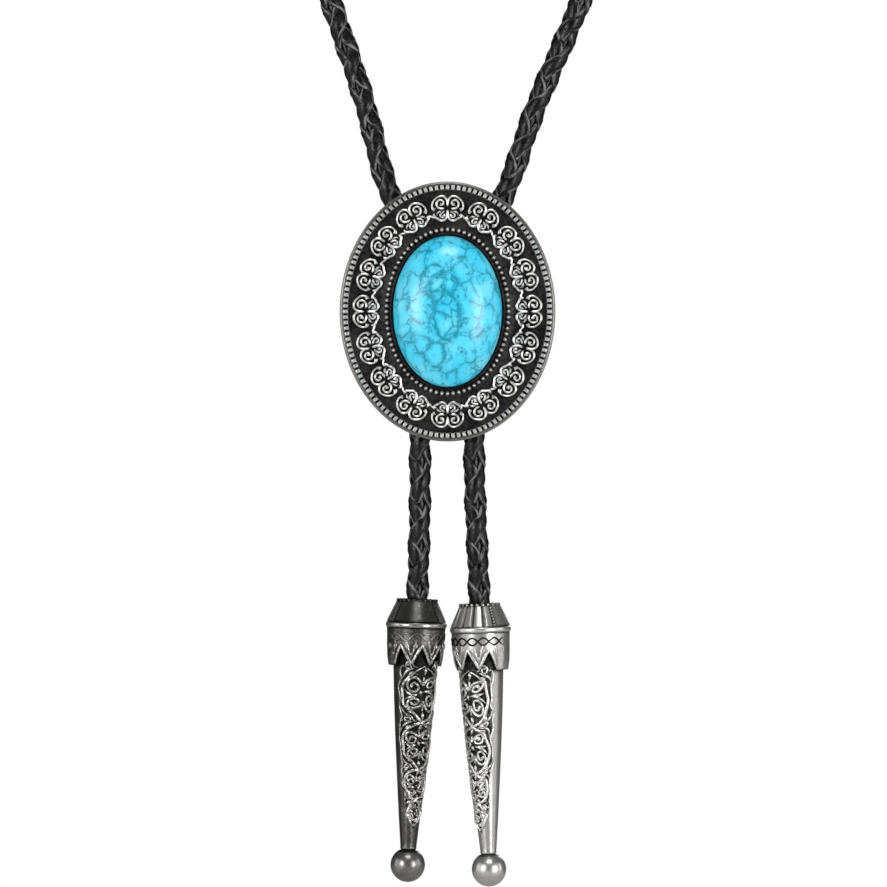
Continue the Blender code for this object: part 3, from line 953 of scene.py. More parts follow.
    def add_teeth(self, bm: BMesh) -> None:
        """Adds the milled edge: a ring of short radial bars that slope down to the lip."""
        tooth = bmesh.new()
        layer = polish_layer(tooth)
        bmesh.ops.create_cube(tooth, size=1.0)
        radial = [
            edge for edge in tooth.edges if abs(edge.verts[0].co.y - edge.verts[1].co.y) > 0.5
        ]
        bmesh.ops.subdivide_edges(tooth, edges=radial, cuts=1)
        length = self.tooth_length + self.tooth_slope
        shoulder = length / 2 - self.tooth_slope
        size = (self.tooth_width, length, 2 * self.tooth_height)
        bmesh.ops.scale(tooth, vec=size, verts=tooth.verts)
        for vert in tooth.verts:
            if abs(vert.co.y) < 0.1 * length:
                vert.co.y = shoulder
            elif vert.co.y > 0 and vert.co.z > 0:
                vert.co.z = 0.15 * self.tooth_height
        bmesh.ops.bevel(
            tooth, geom=tooth.verts[:] + tooth.edges[:], offset=self.tooth_bevel,
            offset_type="OFFSET",
            segments=2, profile=0.5, affect="EDGES", material=-1,
        )
        for vert in tooth.verts:
            crest = vert.co.z > 0.8 * self.tooth_height
            vert[layer] = 0.78 if crest else 0.16 if vert.co.y > shoulder + 0.1 * MM else 0.08
        middle = self.lip + (self.tooth_length - self.tooth_slope) / 2
        front = self.thickness + self.tooth_seat
        scatter(bm, tooth, self.around(*self.inside(middle), self.tooth_count, front))

    def add_beads(self, bm: BMesh) -> None:
        """Adds the beading round the bezel."""
        bead = bmesh.new()
        layer = polish_layer(bead)
        bmesh.ops.create_uvsphere(bead, u_segments=12, v_segments=8, radius=0.5)
        for vert in bead.verts:
            vert[layer] = 0.95 if vert.co.z > -0.05 else 0.05
        size = (self.bead_width, self.bead_length, 2 * self.bead_height)
        bmesh.ops.scale(bead, vec=size, verts=bead.verts)
        middle = self.bezel_wall + self.bead_length / 2
        front = self.thickness + self.bead_seat
        scatter(bm, bead, self.around(*self.round_seat(middle), self.bead_count, front))

    @staticmethod
    def on_field(across: float, outwards: float) -> tuple[Vector, Vector]:
        """The field's ground, laid flat."""
        return Vector((across, outwards, 0)), Vector((0, 0, 1))

    def line_work(self) -> Relief:
        """A relief on a piece of the field's ground, to be copied round the field."""
        bm = bmesh.new()
        polish_layer(bm)
        return Relief(bm, self.on_field, sides=8, foot=0.1)

    def rosette(self) -> BMesh:
        """One rosette: mirrored curls of line work, the two outer ones larger."""
        relief = self.line_work()
        for width, taper, places in self.strokes:
            line = smooth_line(np.array(places) * MM, self.stroke_spacing)
            for side in (1, -1):
                relief.rib(line * (side, 1), width * MM, self.rosette_height, taper)
        return relief.bm

    def link(self, gap: float) -> BMesh:
        """One of the short waves that join the rosettes.

        Args:
            gap: from the link's middle to a rosette's.

        Returns:
            Its mesh.
        """
        half = gap - self.link_reach
        shares = np.linspace(-1, 1, 11)
        wave = [(half * x, self.link_drop - self.link_wave * math.sin(math.pi * x)) for x in shares]
        relief = self.line_work()
        relief.rib(wave, self.link_width, 0.8 * self.rosette_height)
        return relief.bm

    def add_scrolls(self, bm: BMesh) -> None:
        """Adds the rosettes on the field and the short links between them."""
        outer, inner = self.inside(self.rim), self.round_seat(self.beading)
        middle = [(far + near) / 2 for far, near in zip(outer, inner)]
        places = self.around(*middle, 2 * self.rosette_count, self.thickness)
        gap = (places[1].translation - places[0].translation).length
        scatter(bm, self.rosette(), places[::2])
        scatter(bm, self.link(gap), places[1::2])

    def build_stone(self) -> bpy.types.Object:
        """The domed stone on its girdle, with a flat back."""
        bm = bmesh.new()
        bmesh.ops.create_uvsphere(bm, u_segments=160, v_segments=80, radius=1.0)
        ball = bm.verts[:] + bm.edges[:] + bm.faces[:]
        bmesh.ops.bisect_plane(
            bm, geom=ball, plane_co=(0, 0, 0), plane_no=(0, 0, 1), clear_inner=True
        )
        dome = self.stone_height - self.stone_girdle
        size = (self.stone_half_width, self.stone_half_height, dome)
        bmesh.ops.scale(bm, vec=size, verts=bm.verts)
        edge = [item for item in bm.edges if item.is_boundary]
        for drop, inset in ((0.5, 1.0), (0.45, 1.0), (0.05, 0.985)):
            edge, loop = grow_rim(bm, edge)
            bmesh.ops.translate(bm, vec=(0, 0, -drop * self.stone_girdle), verts=loop)
            bmesh.ops.scale(bm, vec=(inset, inset, 1), verts=loop)
        bmesh.ops.holes_fill(bm, edges=edge, sides=0)
        base = self.thickness - self.seat_depth + self.clearance + self.stone_girdle
        seat = self.place @ Matrix.Translation((0, 0, base))
        bmesh.ops.transform(bm, matrix=seat, verts=bm.verts)
        return settle(bm, "stone", self.stone, ["cabochon"], crease=50)


@dataclass(frozen=True)
class TipPlace:
    """Where one tip hangs and how it is turned.

    Attributes:
        across: how far its mouth is from the slide's middle line.
        below: how far its mouth is below the slide's centre.
        turn: how far its vine is turned from the front.
        cap_turn: how far the cap's plain side is turned from the vine.
        cap_plain: half of that side's width, as an angle.
        leaf_turn: how far the leaves are turned from the vine.
        band_polish: how bright the band's ornament is.
        ball_polish: how bright the ball is.
        seed_polish: how bright the small leaves between the scrolls are.
        finish: its metal.
    """

    across: float
    below: float
    turn: float
    cap_turn: float
    cap_plain: float
    leaf_turn: float
    band_polish: float
    ball_polish: float
    seed_polish: float
    finish: AntiqueSilver

    def mouth(self, side: Side) -> Vector:
        """The tip's mouth, from the slide's centre."""
        return Vector((side.value * self.across, 0, -self.below))


@dataclass
class Tip:
    """One cast tip: fluted cap, ring, band with pointed leaves, vine on the shaft, ball.

    It is modelled hanging from its mouth at the origin, the vine's middle towards -Y. Angles
    round it are from there, and depths are from the mouth down.

    Attributes:
        label: which of the two it is.
        place: where it hangs.
        spot: how it is turned and how bright its parts are.
    """

    label: str
    place: Matrix
    spot: TipPlace
    socket_radius: float = 2.7 * MM
    socket_depth: float = 8.0 * MM
    cap_top_radius: float = 3.9 * MM
    cap_foot_radius: float = 6.0 * MM
    cap_height: float = 4.6 * MM
    cap_knobs: int = 22
    flute_count: int = 16
    flute_depth: float = 0.42 * MM
    ring_radius: float = 6.1 * MM
    ring_height: float = 1.2 * MM
    band_height: float = 3.4 * MM
    leaf_count: int = 8
    leaf_reach: float = 1.5
    leaf_length: float = 4.1 * MM
    band_eye: float = 0.5
    skirt_wall: float = 1.25 * MM
    tab_flare: float = 0.5 * MM
    shaft_top_radius: float = 4.3 * MM
    shaft_length: float = 36.8 * MM
    neck_radius: float = 1.55 * MM
    ball_radius: float = 3.45 * MM
    field_half_angle: float = math.radians(67)
    field_share: float = 0.89
    warp: float = 0.014
    end_narrowing: float = 0.42
    line_width: float = 0.58 * MM
    line_height: float = 0.44 * MM
    seed_count: int = 130
    shoulder: float = 1.2 * MM
    # width and height of a line, or radius and height of a knob
    leaf_edge: Flat = (0.56 * MM, 0.24 * MM)
    leaf_vein: Flat = (0.34 * MM, 0.20 * MM)
    leaf_curl: Flat = (0.30 * MM, 0.20 * MM)
    leaf_knob: Flat = (0.28 * MM, 0.24 * MM)
    twist_line: Flat = (0.34 * MM, 0.18 * MM)
    twist_knob: Flat = (0.24 * MM, 0.18 * MM)
    border_line: Flat = (0.34 * MM, 0.20 * MM)
    corner_knob: Flat = (0.24 * MM, 0.26 * MM)
    cap_knob: Flat = (0.32 * MM, 0.14 * MM)
    edge_knob: Flat = (0.26 * MM, 0.20 * MM)
    segments: int = 180
    skirt: list[Flat] = field(default_factory=lambda: [
        # share of the way down the skirt, its radius there
        (0.0, 5.86 * MM), (0.45, 5.64 * MM), (0.72, 5.36 * MM), (0.90, 5.02 * MM), (1.0, 4.76 * MM),
    ])
    taper: list[Flat] = field(default_factory=lambda: [
        # share of the shaft's length, share of the way from its top radius to its neck
        (0.0, 0.0), (0.18, 0.13), (0.38, 0.31), (0.60, 0.54), (0.82, 0.78), (1.0, 1.0),
    ])
    cells: list[float] = field(default_factory=lambda: [0.0, 0.335, 0.625, 0.825, 0.975])

    @property
    def band_top(self) -> float:
        """Depth of the band's upper edge."""
        return self.cap_height + self.ring_height

    @property
    def leaf_top(self) -> float:
        """Depth of the notches between the leaves."""
        return self.band_top + self.band_height

    @property
    def shaft_top(self) -> float:
        """Depth of the leaves' points, where the shaft's taper starts."""
        return self.leaf_top + self.leaf_length

    @property
    def field_length(self) -> float:
        """Length of the vine's ground."""
        return self.field_share * self.shaft_length

    def shaft_radius(self, depth: float) -> float:
        """The shaft's radius at a depth below the leaves' points."""
        shares, drops = zip(*self.taper)
        drop = float(np.interp(depth / self.shaft_length, shares, drops))
        return self.shaft_top_radius + (self.neck_radius - self.shaft_top_radius) * drop

    def build(self) -> bpy.types.Object:
        """Builds the tip with all that is cast on it, as one piece."""
        bm = self.turned()
        self.add_skirt(bm)
        self.add_leaf_lines(bm)
        self.add_band_twist(bm)
        self.add_vine(bm)
        self.add_cap_knobs(bm)
        bmesh.ops.transform(bm, matrix=self.place, verts=bm.verts)
        finish = self.spot.finish
        name, node = self.label + "_cast_tip", self.label + "_tip"
        return settle(bm, name, finish.make(), [node], crease=50)

    def profile(self) -> list[tuple[float, float, float]]:
        """The turned outline from the socket's floor to the ball's foot: radius, depth, polish."""
        cap = self.cap_height
        top = self.band_top
        rows = [
            (0.0, self.socket_depth, 0.0),
            (self.socket_radius, self.socket_depth, 0.0),
            (self.socket_radius, 0.20 * MM, 0.0),
            (self.socket_radius + 0.15 * MM, 0.0, 0.1),
            (self.cap_top_radius - 0.15 * MM, 0.0, 0.2),
            (self.cap_top_radius, 0.12 * MM, 0.25),
        ]
        for share in np.linspace(0.06, 0.97, 12):
            radius = self.cap_top_radius + (self.cap_foot_radius - self.cap_top_radius) * share
            rows.append((radius, cap * share, 0.5 if 0.1 < share < 0.9 else 0.15))
        for inset, share, polish in (
            (0.40 * MM, 0.0, 0.0), (0.22 * MM, 0.03, 0.3), (0.06 * MM, 0.14, 0.60), (0.0, 0.34, 0.74),
            (0.0, 0.62, 0.74), (0.08 * MM, 0.84, 0.55), (0.26 * MM, 0.97, 0.15), (0.42 * MM, 1.03, 0.0),
        ):
            rows.append((self.ring_radius - inset, cap + share * self.ring_height, polish))
        rows.append((self.skirt[0][1] - 0.6 * MM, top + 0.25 * MM, 0.0))
        under_skirt = top + self.shoulder
        for share in (0.0, *np.linspace(0.12, 1.0, 8)):
            depth = under_skirt + share * (self.shaft_top - under_skirt)
            rows.append((self.shaft_top_radius, depth, 0.0))
        for share in np.linspace(0.02, 0.985, 60):
            depth = share * self.shaft_length
            rows.append((self.shaft_radius(depth), self.shaft_top + depth, 0.5))
        foot = self.shaft_top + self.shaft_length
        rows.append((self.neck_radius + 0.10 * MM, foot - 0.25 * MM, 0.6))
        rows.append((self.neck_radius - 0.12 * MM, foot + 0.06 * MM, 0.0))
        centre = foot + math.sqrt(self.ball_radius**2 - self.neck_radius**2)
        first = math.asin(self.neck_radius / self.ball_radius)
        for share in np.linspace(0.03, 1.0, 26):
            polar = first + (math.pi - first) * share
            radius = self.ball_radius * math.sin(polar) if share < 1 else 0.0
            polish = self.spot.ball_polish if share > 0.1 else 0.1
            rows.append((radius, centre - self.ball_radius * math.cos(polar), polish))
        return rows

    def turned(self) -> BMesh:
        """The turned body, with the cap's flutes cut and the vine's ground darkened."""
        bm = bmesh.new()
        layer = polish_layer(bm)
        verts = []
        for radius, depth, polish in self.profile():
            vert = bm.verts.new((radius, 0, -depth))
            vert[layer] = polish
            verts.append(vert)
        edges = [bm.edges.new(pair) for pair in zip(verts, verts[1:])]
        bmesh.ops.spin(
            bm, geom=verts + edges, cent=(0, 0, 0), axis=(0, 0, 1), angle=2 * math.pi,
            steps=self.segments, use_merge=True, use_duplicate=False,
        )
        bmesh.ops.remove_doubles(bm, verts=bm.verts, dist=0.002 * MM)
        for vert in bm.verts:
            depth = -vert.co.z
            radius = math.hypot(vert.co.x, vert.co.y)
            if radius < 0.5 * self.neck_radius:
                # The socket's floor and the ball's foot keep their polish.
                continue
            angle = math.atan2(vert.co.x, -vert.co.y)
            outside = radius > self.socket_radius + 0.5 * MM
            if outside and 0.05 * MM < depth < 0.99 * self.cap_height:
                groove = self.groove(angle)
                inward = 1 - groove * self.flute_depth / radius
                vert.co.x *= inward
                vert.co.y *= inward
                if self.fluted(angle):
                    vert[layer] = 0.62 * min(1, 12 * depth / self.cap_height - 1) * (1 - groove)
                elif self.at_plain_edge(angle):
                    vert[layer] = 0.1
            along = (depth - self.shaft_top) / self.field_length
            edge = self.field_half_angle * self.narrowing(along) * min(1, 7 * (1 - along))
            if -0.02 < along < 1 and abs(angle) < edge:
                vert[layer] = 0.03
        return bm

    def cap_angle(self, angle: float) -> float:
        """How far an angle is from the middle of the cap's plain side, from 0 to pi."""
        return abs((angle - self.spot.cap_turn + math.pi) % (2 * math.pi) - math.pi)

    def fluted(self, angle: float) -> bool:
        """Whether the cap has flutes there."""
        return self.cap_angle(angle) > self.spot.cap_plain

    def at_plain_edge(self, angle: float) -> bool:
        """Whether the place is in the dark line along the plain side's edge."""
        return self.cap_angle(angle) > self.spot.cap_plain - math.radians(4)

    def groove(self, angle: float) -> float:
        """How deep the groove between two flutes is there, from 0 to 1."""
        if not self.fluted(angle):
            return 0.0
        phase = (self.cap_angle(angle) - self.spot.cap_plain) * self.flute_count / (2 * math.pi) % 1
        return max(0.0, 1 - min(phase, 1 - phase) / 0.20) ** 0.6

    def leaf_angle(self, turn: float) -> float:
        """The angle at a place counted in leaves from the middle of the leaves."""
        return self.spot.leaf_turn + turn * 2 * math.pi / self.leaf_count

    def skirt_radius(self, turn: float, share: float) -> float:
        """The skirt's outer radius at a place in leaves and a share of the way down it."""
        shares, radii = zip(*self.skirt)
        plain = min(1.0, max(0.0, abs(turn) - self.leaf_reach) / 0.25)
        flare = plain * self.tab_flare * max(0.0, share) ** 2
        return float(np.interp(share, shares, radii)) + flare

    def on_skirt(self, turn: float, share: float) -> tuple[Vector, Vector]:
        """The skirt's ground: place in leaves, and share of the way down from the band's top."""
        depth = self.band_top + share * (self.shaft_top - self.band_top)
        return self.on_cone(self.leaf_angle(turn), depth, self.skirt_radius(turn, share))

    def on_shaft(self, across: float, along: float) -> tuple[Vector, Vector]:
        """The vine's ground: share of its half angle, and share of its length.

        A slow wave in both directions gives the vine a grown look.
        """
        across, along = (
            across + 0.055 * math.sin(24 * along + 0.8) + 0.030 * math.sin(63 * along + 4 * across),
            along + self.warp * math.sin(4.1 * across + 21 * along) * min(1, 12 * along, 12 * (1 - along)),
        )
        depth = along * self.field_length
        angle = across * self.field_half_angle * self.narrowing(along)
        return self.on_cone(angle, self.shaft_top + depth, self.shaft_radius(depth))

    def narrowing(self, along: float) -> float:
        """How much of its full angle the vine still spans, at a share of its length."""
        return 1 - self.end_narrowing * max(0.0, along - 0.55) / 0.45

    @staticmethod
    def on_cone(angle: float, depth: float, radius: float) -> tuple[Vector, Vector]:
        """The point and the outward normal at an angle from the front, a depth and a radius."""
        outward = Vector((math.sin(angle), -math.cos(angle), 0))
        return outward * radius + Vector((0, 0, -depth)), outward

    @property
    def notch_share(self) -> float:
        """How far down the skirt the notches reach up to, as a share."""
        return self.band_height / (self.band_height + self.leaf_length)

    def foot_share(self, turn: float) -> float:
        """How far down the skirt's edge is: 1 at a leaf's point and on the plain tab."""
        if abs(turn) >= self.leaf_reach:
            return 1.0
        point = 1 - abs(2 * (turn % 1) - 1)
        return self.notch_share + (1 - self.notch_share) * point

    def add_skirt(self, bm: BMesh) -> None:
        """Adds the band, the leaves under it and the plain tab: one wall with a cut lower edge."""
        skirt = bmesh.new()
        layer = polish_layer(skirt)
        bmesh.ops.create_grid(skirt, x_segments=16 * self.leaf_count, y_segments=22, size=0.5)
        for vert in skirt.verts:
            turn = vert.co.x * self.leaf_count
            down = 0.5 - vert.co.y
            share = 0.003 + down * (self.foot_share(turn) - 0.003)
            leafy = abs(turn) < self.leaf_reach and share > self.notch_share
            vert[layer] = 0.1 if down > 0.97 or down < 0.03 else 0.36 if leafy else 0.52
            vert.co = self.on_skirt(turn, share)[0]
        bmesh.ops.remove_doubles(skirt, verts=skirt.verts, dist=0.002 * MM)
        bmesh.ops.recalc_face_normals(skirt, faces=skirt.faces)
        self.thicken(skirt, layer)
        merge(bm, skirt)
        skirt.free()

    def thicken(self, skirt: BMesh, layer: Any) -> None:
        """Gives the skirt its wall, whose inner side and edge stay dark.

        Args:
            skirt: the skirt's outer face.
            layer: its polish layer.
        """
        grown = bmesh.ops.extrude_face_region(
            skirt, geom=skirt.faces[:], use_keep_orig=True
        )["geom"]
        for vert in (item for item in grown if isinstance(item, BMVert)):
            inward = 1 - self.skirt_wall / math.hypot(vert.co.x, vert.co.y)
            vert.co.x *= inward
            vert.co.y *= inward
            vert[layer] = 0.0

    def add_leaf_lines(self, bm: BMesh) -> None:
        """Adds the raised edge of the leaves and the curls inside them."""
        relief = Relief(bm, self.on_skirt)
        notch = self.notch_share
        drop = 1 - notch
        reach = (0.10, 0.10 * drop * 1.1)
        for leaf in (-1.5, -0.5, 0.5, 1.5):
            for side in (1, -1):
                edge = [
                    (leaf + side * 0.5 * (1 - share), notch + drop * (0.97 * share - 0.04))
                    for share in np.linspace(0, 1, 10)
                ]
                if abs(edge[0][0]) <= self.leaf_reach:
                    relief.rib(edge, *self.leaf_edge)
                    inner = [(leaf + 0.5 * (x - leaf), y - 0.28 * drop) for x, y in edge]
                    relief.rib(inner, *self.leaf_vein, leaf_shape)
                centre = (leaf + side * 0.17, notch + 0.02)
                wind = spiral(centre, reach, -90, side * 420, 0.3, count=14)
                relief.rib(wind, *self.leaf_curl)
            relief.dot((leaf, notch + 0.40 * drop), *self.leaf_knob)

    def add_band_twist(self, bm: BMesh) -> None:
        """Adds an open twist round the band: two waves that cross, with a knob in each eye."""
        relief = Relief(bm, self.on_skirt, foot=0.0, crest=self.spot.band_polish)
        middle = 0.50 * self.notch_share
        swing = 0.21 * self.notch_share
        reach = self.leaf_reach + 0.25
        for side in (1, -1):
            wave = [
                (turn, middle + side * swing * math.sin(math.pi * turn / self.band_eye))
                for turn in np.linspace(-reach, reach, 113)
            ]
            relief.rib(wave, *self.twist_line)
        for eye in np.arange(-reach + self.band_eye / 2, reach, self.band_eye):
            relief.dot((eye, middle), *self.twist_knob)

    def add_vine(self, bm: BMesh) -> None:
        """Adds the vine: two stems that cross from cell to cell, scrolls inside, leaves outside."""
        relief = Relief(bm, self.on_shaft, foot=0.04)
        spans = list(zip(self.cells, self.cells[1:]))
        for side in (1, -1):
            stem = []
            for number, (near, far) in enumerate(spans):
                for share in np.linspace(0, 1, 13)[: 13 if number == len(spans) - 1 else 12]:
                    bulge = 0.84 * math.sin(math.pi * share) ** 0.7
                    stem.append((side * (-1) ** number * bulge, near + (far - near) * share))
            relief.rib(stem, 1.1 * self.line_width, self.line_height)
            border = [
                (side * (1.0 + 0.02 * math.sin(55 * along)), along)
                for along in np.linspace(0.0, 0.86, 60)
            ]
            relief.rib(border, *self.border_line)
        self.add_seeds(bm)
        for near, far in spans:
            self.add_cell(relief, near, far)
        for number, crossing in enumerate(self.cells[:-1]):
            before = self.cells[number - 1] if number else -(self.cells[1])
            self.add_corner(relief, crossing - before, crossing, self.cells[number + 1] - crossing)

    def add_seeds(self, bm: BMesh) -> None:
        """Fills the ground between the scrolls with small low leaves that lie in all directions."""
        relief = Relief(bm, self.on_shaft, sides=6, foot=0.0, crest=self.spot.seed_polish)
        draw = np.random.default_rng(self.seed_count)
        for _ in range(self.seed_count):
            along = 0.80 * draw.random()
            across = draw.uniform(-0.92, 0.92) * min(1, 6 * (1 - along))
            turn = draw.uniform(0, math.pi)
            half = draw.uniform(0.35, 0.65) * MM
            step = (
                half * math.cos(turn) / self.wide(along),
                half * math.sin(turn) / self.field_length,
            )
            bend = (across + 0.5 * step[1] * self.field_length / self.wide(along), along)
            ends = [(across + way * step[0], along + way * step[1]) for way in (-1, 1)]
            line = self.curve(ends[0], bend, ends[1], 6)
            width, height = draw.uniform(0.34, 0.50) * MM, draw.uniform(0.22, 0.34) * MM
            relief.rib(line, width, height, leaf_shape)

    def wide(self, along: float) -> float:
        """Half of the vine's width on the metal, at a share of its length."""
        radius = self.shaft_radius(along * self.field_length)
        return self.field_half_angle * self.narrowing(along) * radius

    def add_cell(self, relief: Relief, near: float, far: float) -> None:
        """Fills one cell with two pairs of scrolls, buds between them and leaves at its ends.

        Args:
            relief: the vine's relief.
            near: the cell's upper end.
            far: its lower end.
        """
        tall = far - near
        wide = self.wide((near + far) / 2)
        size = min(0.31 * wide, 0.165 * tall * self.field_length)
        width = self.line_width * min(1.0, 0.45 + 0.55 * size / (1.4 * MM))
        reach = (size / wide, size / self.field_length)
        wind = spiral((reach[0] + 0.035, 0.0), reach, -175, 560, 0.22, hold=0.15, count=28)
        wind.insert(0, (0.02, -1.25 * reach[1]))
        for share, down in ((0.335, 1), (0.665, -1)):
            level = near + tall * share
            for side in (1, -1):
                line = [(side * x, level + down * y) for x, y in wind]
                relief.rib(line, width, self.line_height, comma)
                stalk = (side * (2 * reach[0] + 0.02), level - down * 0.10 * tall)
                point = (side * (1.4 * reach[0]), level - down * 0.215 * tall)
                self.add_leaf(relief, 0.9 * width, stalk, (stalk[0], point[1]), point)
        for side in (1, -1):
            for down in (1, -1):
                stalk = (side * 0.10, near + 0.5 * tall)
                point = (side * 0.72, near + (0.5 + 0.075 * down) * tall)
                self.add_leaf(relief, 1.1 * width, stalk, (side * 0.5, stalk[1]), point)
        for low, high in ((0.03, 0.15), (0.44, 0.56), (0.85, 0.97)):
            stalk, point = (0.0, near + low * tall), (0.0, near + high * tall)
            self.add_leaf(relief, 1.2 * width, stalk, (0.0, (stalk[1] + point[1]) / 2), point)

    def add_leaf(self, relief: Relief, width: float, stalk: Flat, bend: Flat, point: Flat) -> None:
        """Adds one leaf from its stalk to its point, pulled towards its bend."""
        relief.rib(self.curve(stalk, bend, point), width, self.line_height, leaf_shape)

    def add_corner(self, relief: Relief, above: float, crossing: float, below: float) -> None:
        """Fills the corners beside a crossing with a scroll and leaves.

        Args:
            relief: the vine's relief.
            above: how tall the cell above is.
            crossing: where the stems cross.
            below: how tall the cell below is.
        """
        wide = self.wide(crossing)
        size = min(0.19 * wide, 0.14 * min(above, below) * self.field_length)
        reach = (size / wide, size / self.field_length)
        wind = spiral((0.62, 0.0), reach, 180, 500, 0.3, count=20)
        wind.insert(0, (0.30, 0.3 * reach[1]))
        for side in (1, -1):
            line = [(side * x, crossing + y) for x, y in wind]
            relief.rib(line, 0.8 * self.line_width, self.line_height, comma)
            for tall, down in ((above, -1), (below, 1)):
                if crossing + down * tall < 0:
                    continue
                stalk = (side * 0.42, crossing + down * 0.045 * tall)
                bend = (side * 0.85, crossing + down * 0.09 * tall)
                point = (side * 0.93, crossing + down * 0.30 * tall)
                self.add_leaf(relief, 0.62 * MM * wide / (5 * MM), stalk, bend, point)
            relief.dot((side * 0.90, crossing), *self.corner_knob)

    @staticmethod
    def curve(start: Flat, bend: Flat, end: Flat, count: int = 9) -> list[Flat]:
        """Places along a curve from start to end that is pulled towards bend."""
        places = []
        for share in np.linspace(0, 1, count):
            weights = ((1 - share) ** 2, 2 * share * (1 - share), share**2)
            places.append(tuple(
                sum(weight * spot[axis] for weight, spot in zip(weights, (start, bend, end)))
                for axis in range(2)
            ))
        return places

    def on_cap(self, angle: float, share: float) -> tuple[Vector, Vector]:
        """The cap's ground: an angle from the front, and a share of its height."""
        radius = self.cap_top_radius + (self.cap_foot_radius - self.cap_top_radius) * share
        return self.on_cone(angle, self.cap_height * share, radius)

    def add_cap_knobs(self, bm: BMesh) -> None:
        """Adds the small knobs round the cap's top and along the edges of its plain side."""
        relief = Relief(bm, self.on_cap, foot=0.1, crest=0.45)
        for angle in np.arange(self.cap_knobs) * 2 * math.pi / self.cap_knobs:
            relief.dot((angle, 0.05), *self.cap_knob)
        for side in (1, -1):
            for share in np.linspace(0.18, 0.92, 7):
                edge = self.spot.cap_turn + side * self.spot.cap_plain
                relief.dot((edge, share), *self.edge_knob)


class Way:
    """A cord's way: closely spaced points of its middle, and two directions across it at each.

    Attributes:
        line: the points.
        along: how far along the way each of them is.
        length: the way's length.
        across: the two directions, carried along it without a twist.
    """

    def __init__(self, line: np.ndarray) -> None:
        """Measures the way.

        Args:
            line: its points.
        """
        self.line = line
        self.along = run_along(line)
        self.length = float(self.along[-1])
        ahead = np.gradient(line, axis=0)
        ahead /= np.linalg.norm(ahead, axis=1)[:, None]
        front = np.array([0.0, -1.0, 0.0])
        across = []
        for direction in ahead:
            front = front - direction * np.dot(front, direction)
            front /= np.linalg.norm(front)
            across.append([front, np.cross(direction, front)])
        self.across = np.array(across)

    def read(self, values: np.ndarray, run: np.ndarray) -> np.ndarray:
        """Values known at each of the way's points, read at other distances along it."""
        return np.stack([np.interp(run, self.along, column) for column in values.T], axis=1)

    def wrapped(self, run: np.ndarray, angle: np.ndarray, radius: np.ndarray) -> np.ndarray:
        """Points round the way.

        Args:
            run: how far along it each point is.
            angle: its angle round it.
            radius: its distance from it.

        Returns:
            The points' places.
        """
        front, aside = (self.read(self.across[:, number], run) for number in range(2))
        ray = front * np.cos(angle)[:, None] + aside * np.sin(angle)[:, None]
        return self.read(self.line, run) + ray * radius[:, None]


